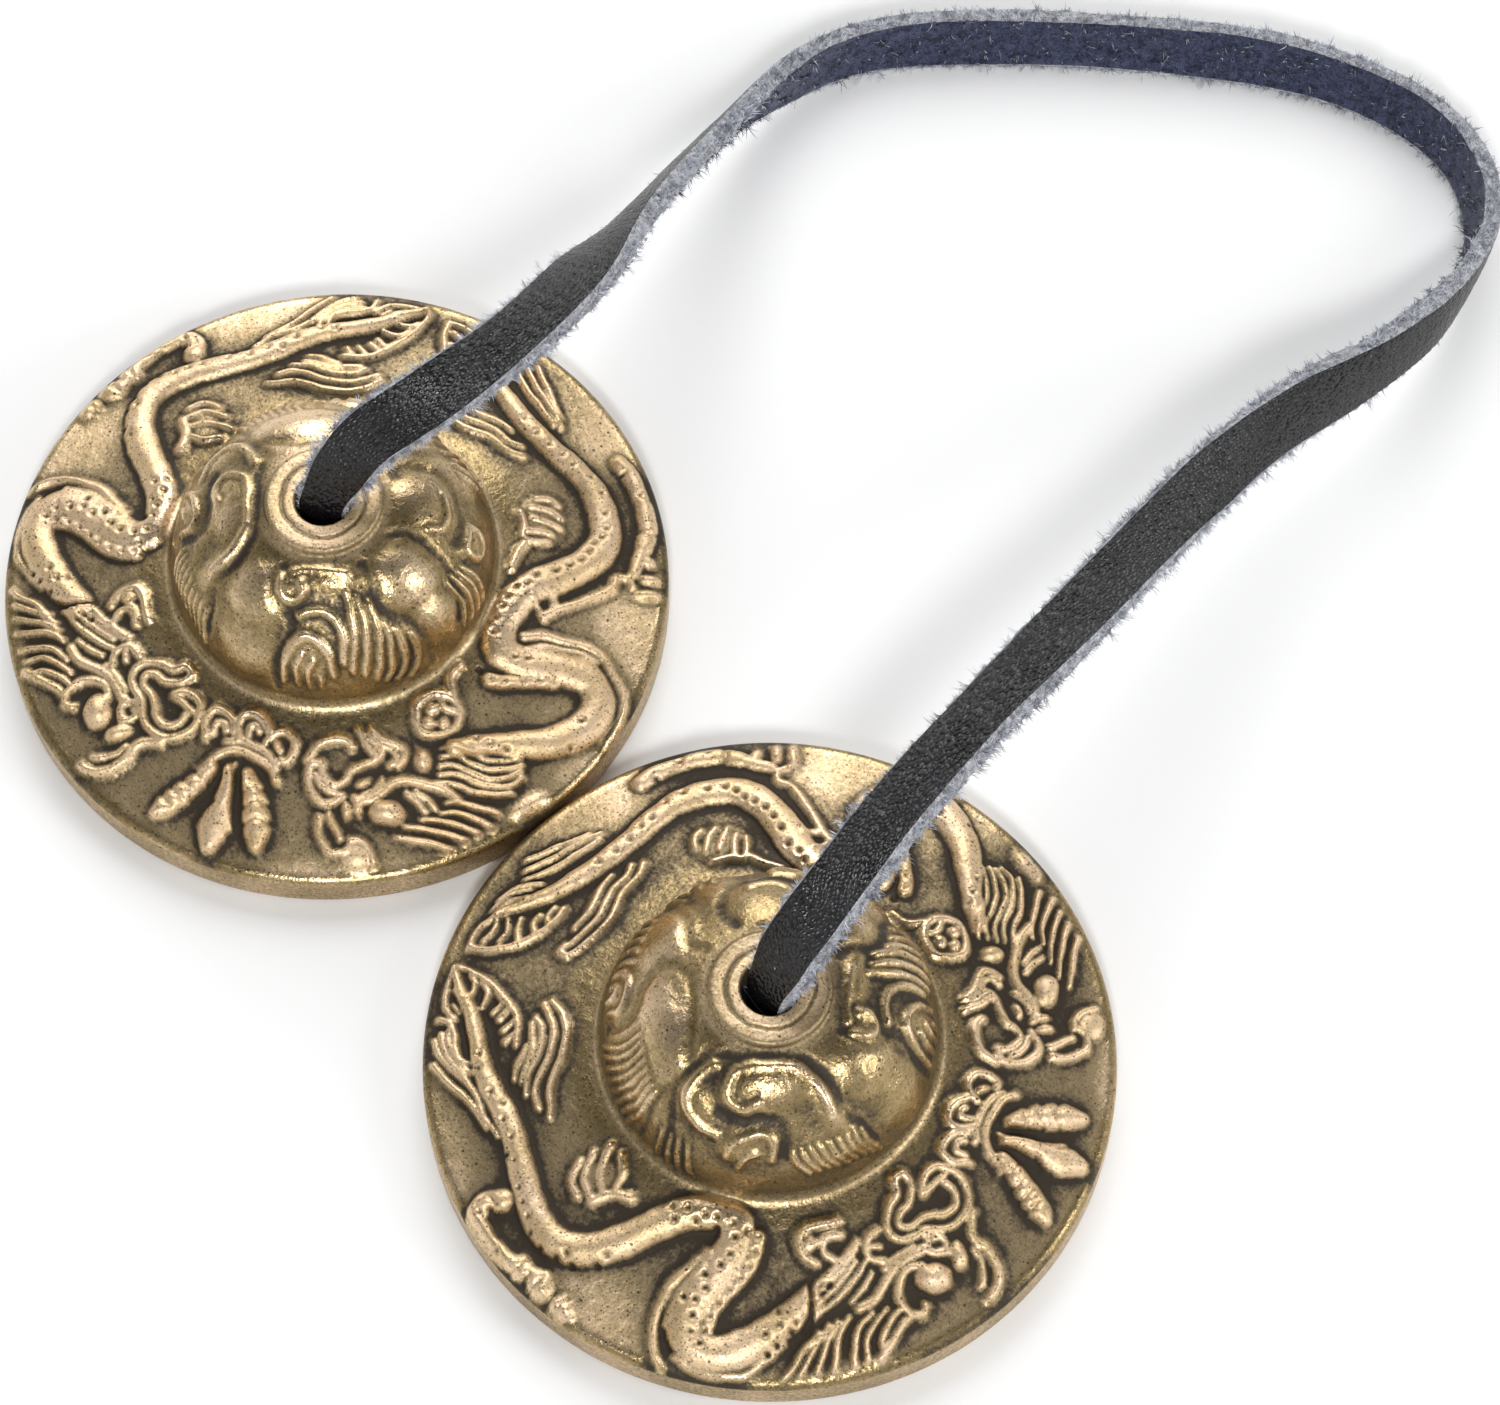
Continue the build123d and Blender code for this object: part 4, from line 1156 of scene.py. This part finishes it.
# The brass's colours: rubbed bright, plain, dull ground, bright old skin, and black in the creases.
POLISHED = (0.87, 0.655, 0.43)
GOLDEN = (0.78, 0.58, 0.33)
OLIVE = (0.36, 0.275, 0.155)
AMBER = (0.385, 0.282, 0.135)
CRUST = (0.045, 0.034, 0.022)


def make_brass():
    """Cast brass. Its points carry patina, gloss and place, which every pattern is built on."""
    s = Shader("cast_brass")
    place = s.attribute("place", True)
    gloss = s.attribute("gloss")
    cloud = s.noise(place, 0.16, 4.0, 0.6)
    grit = s.noise(place, 2.6, 4.0, 0.65)
    speck = s.cells(place, 2.1)
    holes = s.cells(place, 0.8)
    # Rubbed high places are bright; the ground and the deep creases keep their dark skin.
    stain = s.math("ADD", s.math("MULTIPLY", cloud, 0.7), s.math("MULTIPLY", grit, 0.9))
    patina = s.attribute("patina")
    depth = s.math("ADD", patina, s.math("MULTIPLY", s.math("SUBTRACT", stain, 0.8), 0.75))
    tarnish = s.remap(depth, 0.06, 0.58)
    crust = s.remap(depth, 0.50, 1.05)
    pit = s.remap(speck, 0.10, 0.28, 1.0, 0.0)
    pit = s.math("MULTIPLY", pit, s.remap(s.noise(place, 0.5, 2.0), 0.36, 0.54))
    fleck = s.math("MULTIPLY", s.remap(s.noise(place, 4.5, 2.0, 0.5, 0.6), 0.56, 0.68), 0.55)
    pit = s.math("MAXIMUM", pit, s.math("MULTIPLY", s.remap(holes, 0.07, 0.16, 1.0, 0.0),
                                        s.remap(s.noise(place, 0.3, 2.0), 0.44, 0.50)))
    colour = s.mix(s.remap(cloud, 0.35, 0.65), POLISHED, GOLDEN)
    colour = s.mix(tarnish, colour, s.mix(gloss, OLIVE, AMBER))
    colour = s.mix(crust, colour, CRUST)
    colour = s.mix(s.math("MAXIMUM", s.math("MULTIPLY", pit, 0.85), fleck), colour, CRUST)
    satin = s.math("SUBTRACT", 0.48, s.math("MULTIPLY", gloss, 0.20))
    roughness = s.math("ADD", satin, s.remap(grit, 0.3, 0.7, -0.03, 0.07))
    roughness = s.math("ADD", roughness, s.math("MULTIPLY", crust, 0.2))
    fine = s.bump(s.noise(place, 5.0, 3.0, 0.6), 0.00004, 0.6)
    waves = s.bump(s.noise(place, 1.3, 3.0, 0.6), 0.00016, 0.6, fine)
    pits_bump = s.bump(pit, 0.00012, -0.7, waves)
    metal = s.remap(crust, 0.0, 1.0, 1.0, 0.6)
    return s.set(Base_Color=colour, Metallic=metal, Roughness=roughness, Normal=pits_bump)


def make_grain():
    """The leather's black outer face, with pebbles and pores."""
    s = Shader("leather_grain")
    place = s.attribute("strap_place", True)
    pebbles = s.cells(s.stretch(place, (2000, 2900, 1800)), 1.0)
    pores = s.cells(s.stretch(place, (900, 1300, 900), (3, 5, 7)), 1.0)
    cloud = s.noise(s.stretch(place, (220, 300, 200)), 1.0, 3.0)
    colour = s.mix(s.remap(cloud, 0.35, 0.7), (0.003, 0.003, 0.004), (0.010, 0.010, 0.012))
    colour = s.mix(s.remap(pores, 0.10, 0.25, 0.8, 0.0), colour, (0.001, 0.001, 0.001))
    roughness = s.remap(cloud, 0.3, 0.7, 0.24, 0.36)
    low = s.bump(s.remap(pores, 0.05, 0.35), 0.00012, 0.8)
    grain = s.bump(s.math("MULTIPLY", pebbles, -1.0), 0.00024, 1.0, low)
    return s.set(Base_Color=colour, Roughness=roughness, Normal=grain, Specular_IOR_Level=0.5)


def make_nap(name, dark, light, scale):
    """Suede or a cut edge: a soft nap of fine fibres."""
    s = Shader(name)
    place = s.attribute("strap_place", True)
    strands = s.noise(s.stretch(place, (scale, scale, scale)), 1.0, 5.0, 0.7, 1.2)
    tufts = s.noise(s.stretch(place, (scale * 0.3,) * 3), 1.0, 3.0, 0.6)
    part = s.math("ADD", s.math("MULTIPLY", strands, 0.65), s.math("MULTIPLY", tufts, 0.35))
    colour = s.mix(s.remap(part, 0.38, 0.64), dark, light)
    nap = s.bump(strands, 0.00014, 0.9, s.bump(tufts, 0.0002, 0.8))
    return s.set(Base_Color=colour, Roughness=0.95, Normal=nap, Sheen_Weight=0.25, Specular_IOR_Level=0.2)


def make_fibre():
    s = Shader("leather_fibre")
    place = s.nodes.new("ShaderNodeTexCoord").outputs["Object"]
    tone = s.noise(place, 900, 2.0)
    colour = s.mix(s.remap(tone, 0.35, 0.65), (0.30, 0.32, 0.38), (0.76, 0.78, 0.83))
    return s.set(Base_Color=colour, Roughness=0.9, Specular_IOR_Level=0.2)


def make_floor_material():
    s = Shader("floor")
    place = s.nodes.new("ShaderNodeTexCoord").outputs["Object"]
    colour = s.mix(s.noise(place, 6, 2.0), (0.90, 0.90, 0.90), (0.93, 0.93, 0.93))
    return s.set(Base_Color=colour, Roughness=0.85, Specular_IOR_Level=0.2)


# --- studio ---------------------------------------------------------------------------------

def make_floor():
    size = 3.0
    corners = np.array([(-size, -size, 0), (size, -size, 0), (size, size, 0), (-size, size, 0)])
    floor = make_object("floor", corners, np.array([[0, 1, 2, 3]]), [make_floor_material()])


def add_light(name, place, target, size, power, colour=(1, 1, 1)):
    light = bpy.data.lights.new(name, "AREA")
    light.shape = "RECTANGLE"
    light.size, light.size_y = size
    light.energy = power
    light.color = colour
    obj = bpy.data.objects.new(name, light)
    bpy.context.scene.collection.objects.link(obj)
    obj.location = place
    obj.rotation_euler = (Vector(target) - obj.location).to_track_quat("-Z", "Y").to_euler()


def make_studio():
    """A soft grey sky that is darker overhead, and three area lights."""
    world = bpy.data.worlds.new("studio")
    world.use_nodes = True
    nodes, links = world.node_tree.nodes, world.node_tree.links
    background = nodes["Background"]
    split = nodes.new("ShaderNodeSeparateXYZ")
    links.new(nodes.new("ShaderNodeTexCoord").outputs["Generated"], split.inputs[0])
    ramp = nodes.new("ShaderNodeValToRGB")
    ramp.color_ramp.interpolation = "EASE"
    ramp.color_ramp.elements[0].position = 0.25
    ramp.color_ramp.elements[0].color = (0.66, 0.66, 0.66, 1)
    ramp.color_ramp.elements[1].position = 0.92
    ramp.color_ramp.elements[1].color = (0.13, 0.135, 0.14, 1)
    links.new(split.outputs["Z"], ramp.inputs[0])
    links.new(ramp.outputs[0], background.inputs["Color"])
    background.inputs["Strength"].default_value = 0.9
    bpy.context.scene.world = world
    bpy.context.scene.view_settings.view_transform = "Standard"
    middle = (0, 0.02, 0)
    add_light("key", (-0.55, 0.50, 0.70), middle, (0.8, 0.8), 7.5)
    add_light("front", (0.47, -0.40, 0.70), middle, (0.16, 0.16), 4)
    add_light("fill", (0.8, 0.5, 0.5), middle, (0.4, 0.4), 3)


# --- assembly -------------------------------------------------------------------------------

LEFT_TURN = math.radians(49.7)
RIGHT_TURN = math.radians(139.2)
LEFT_TARNISH, RIGHT_TARNISH = 0.0, 0.12
KNOT_TURN = 0.6          # how far the right knot is turned against the left one

leather = [make_grain(), make_nap("leather_edge", (0.09, 0.095, 0.115), (0.60, 0.61, 0.65), 4200),
           make_nap("leather_suede", (0.006, 0.008, 0.022), (0.075, 0.088, 0.165), 3600), make_fibre()]
left_bend, band, right_bend, band_line = make_strap(leather)
left_knot = make_knot("left_knot_tied", LEFT_CENTRE, 0.0, leather, "left_end", "left_knot")
right_knot = make_knot("right_knot_tied", RIGHT_CENTRE, KNOT_TURN, leather, "right_end", "right_knot")

reliefs = {"flange": make_relief(draw_flange, 0.0, 0.62, 1.0, WORN_FLANGE),
           "dome": make_relief(draw_dome, 0.34, 0.25, 1.1, WORN_DOME)}
brass = make_brass()
make_cymbal("left_cymbal_cast", LEFT_CENTRE, LEFT_TURN, 1, LEFT_TARNISH, reliefs, brass,
            "left_cymbal", "left_cymbal")
make_cymbal("right_cymbal_cast", RIGHT_CENTRE, RIGHT_TURN, 2, RIGHT_TARNISH, reliefs, brass,
            "right_cymbal", "right_cymbal")

make_floor()
make_studio()
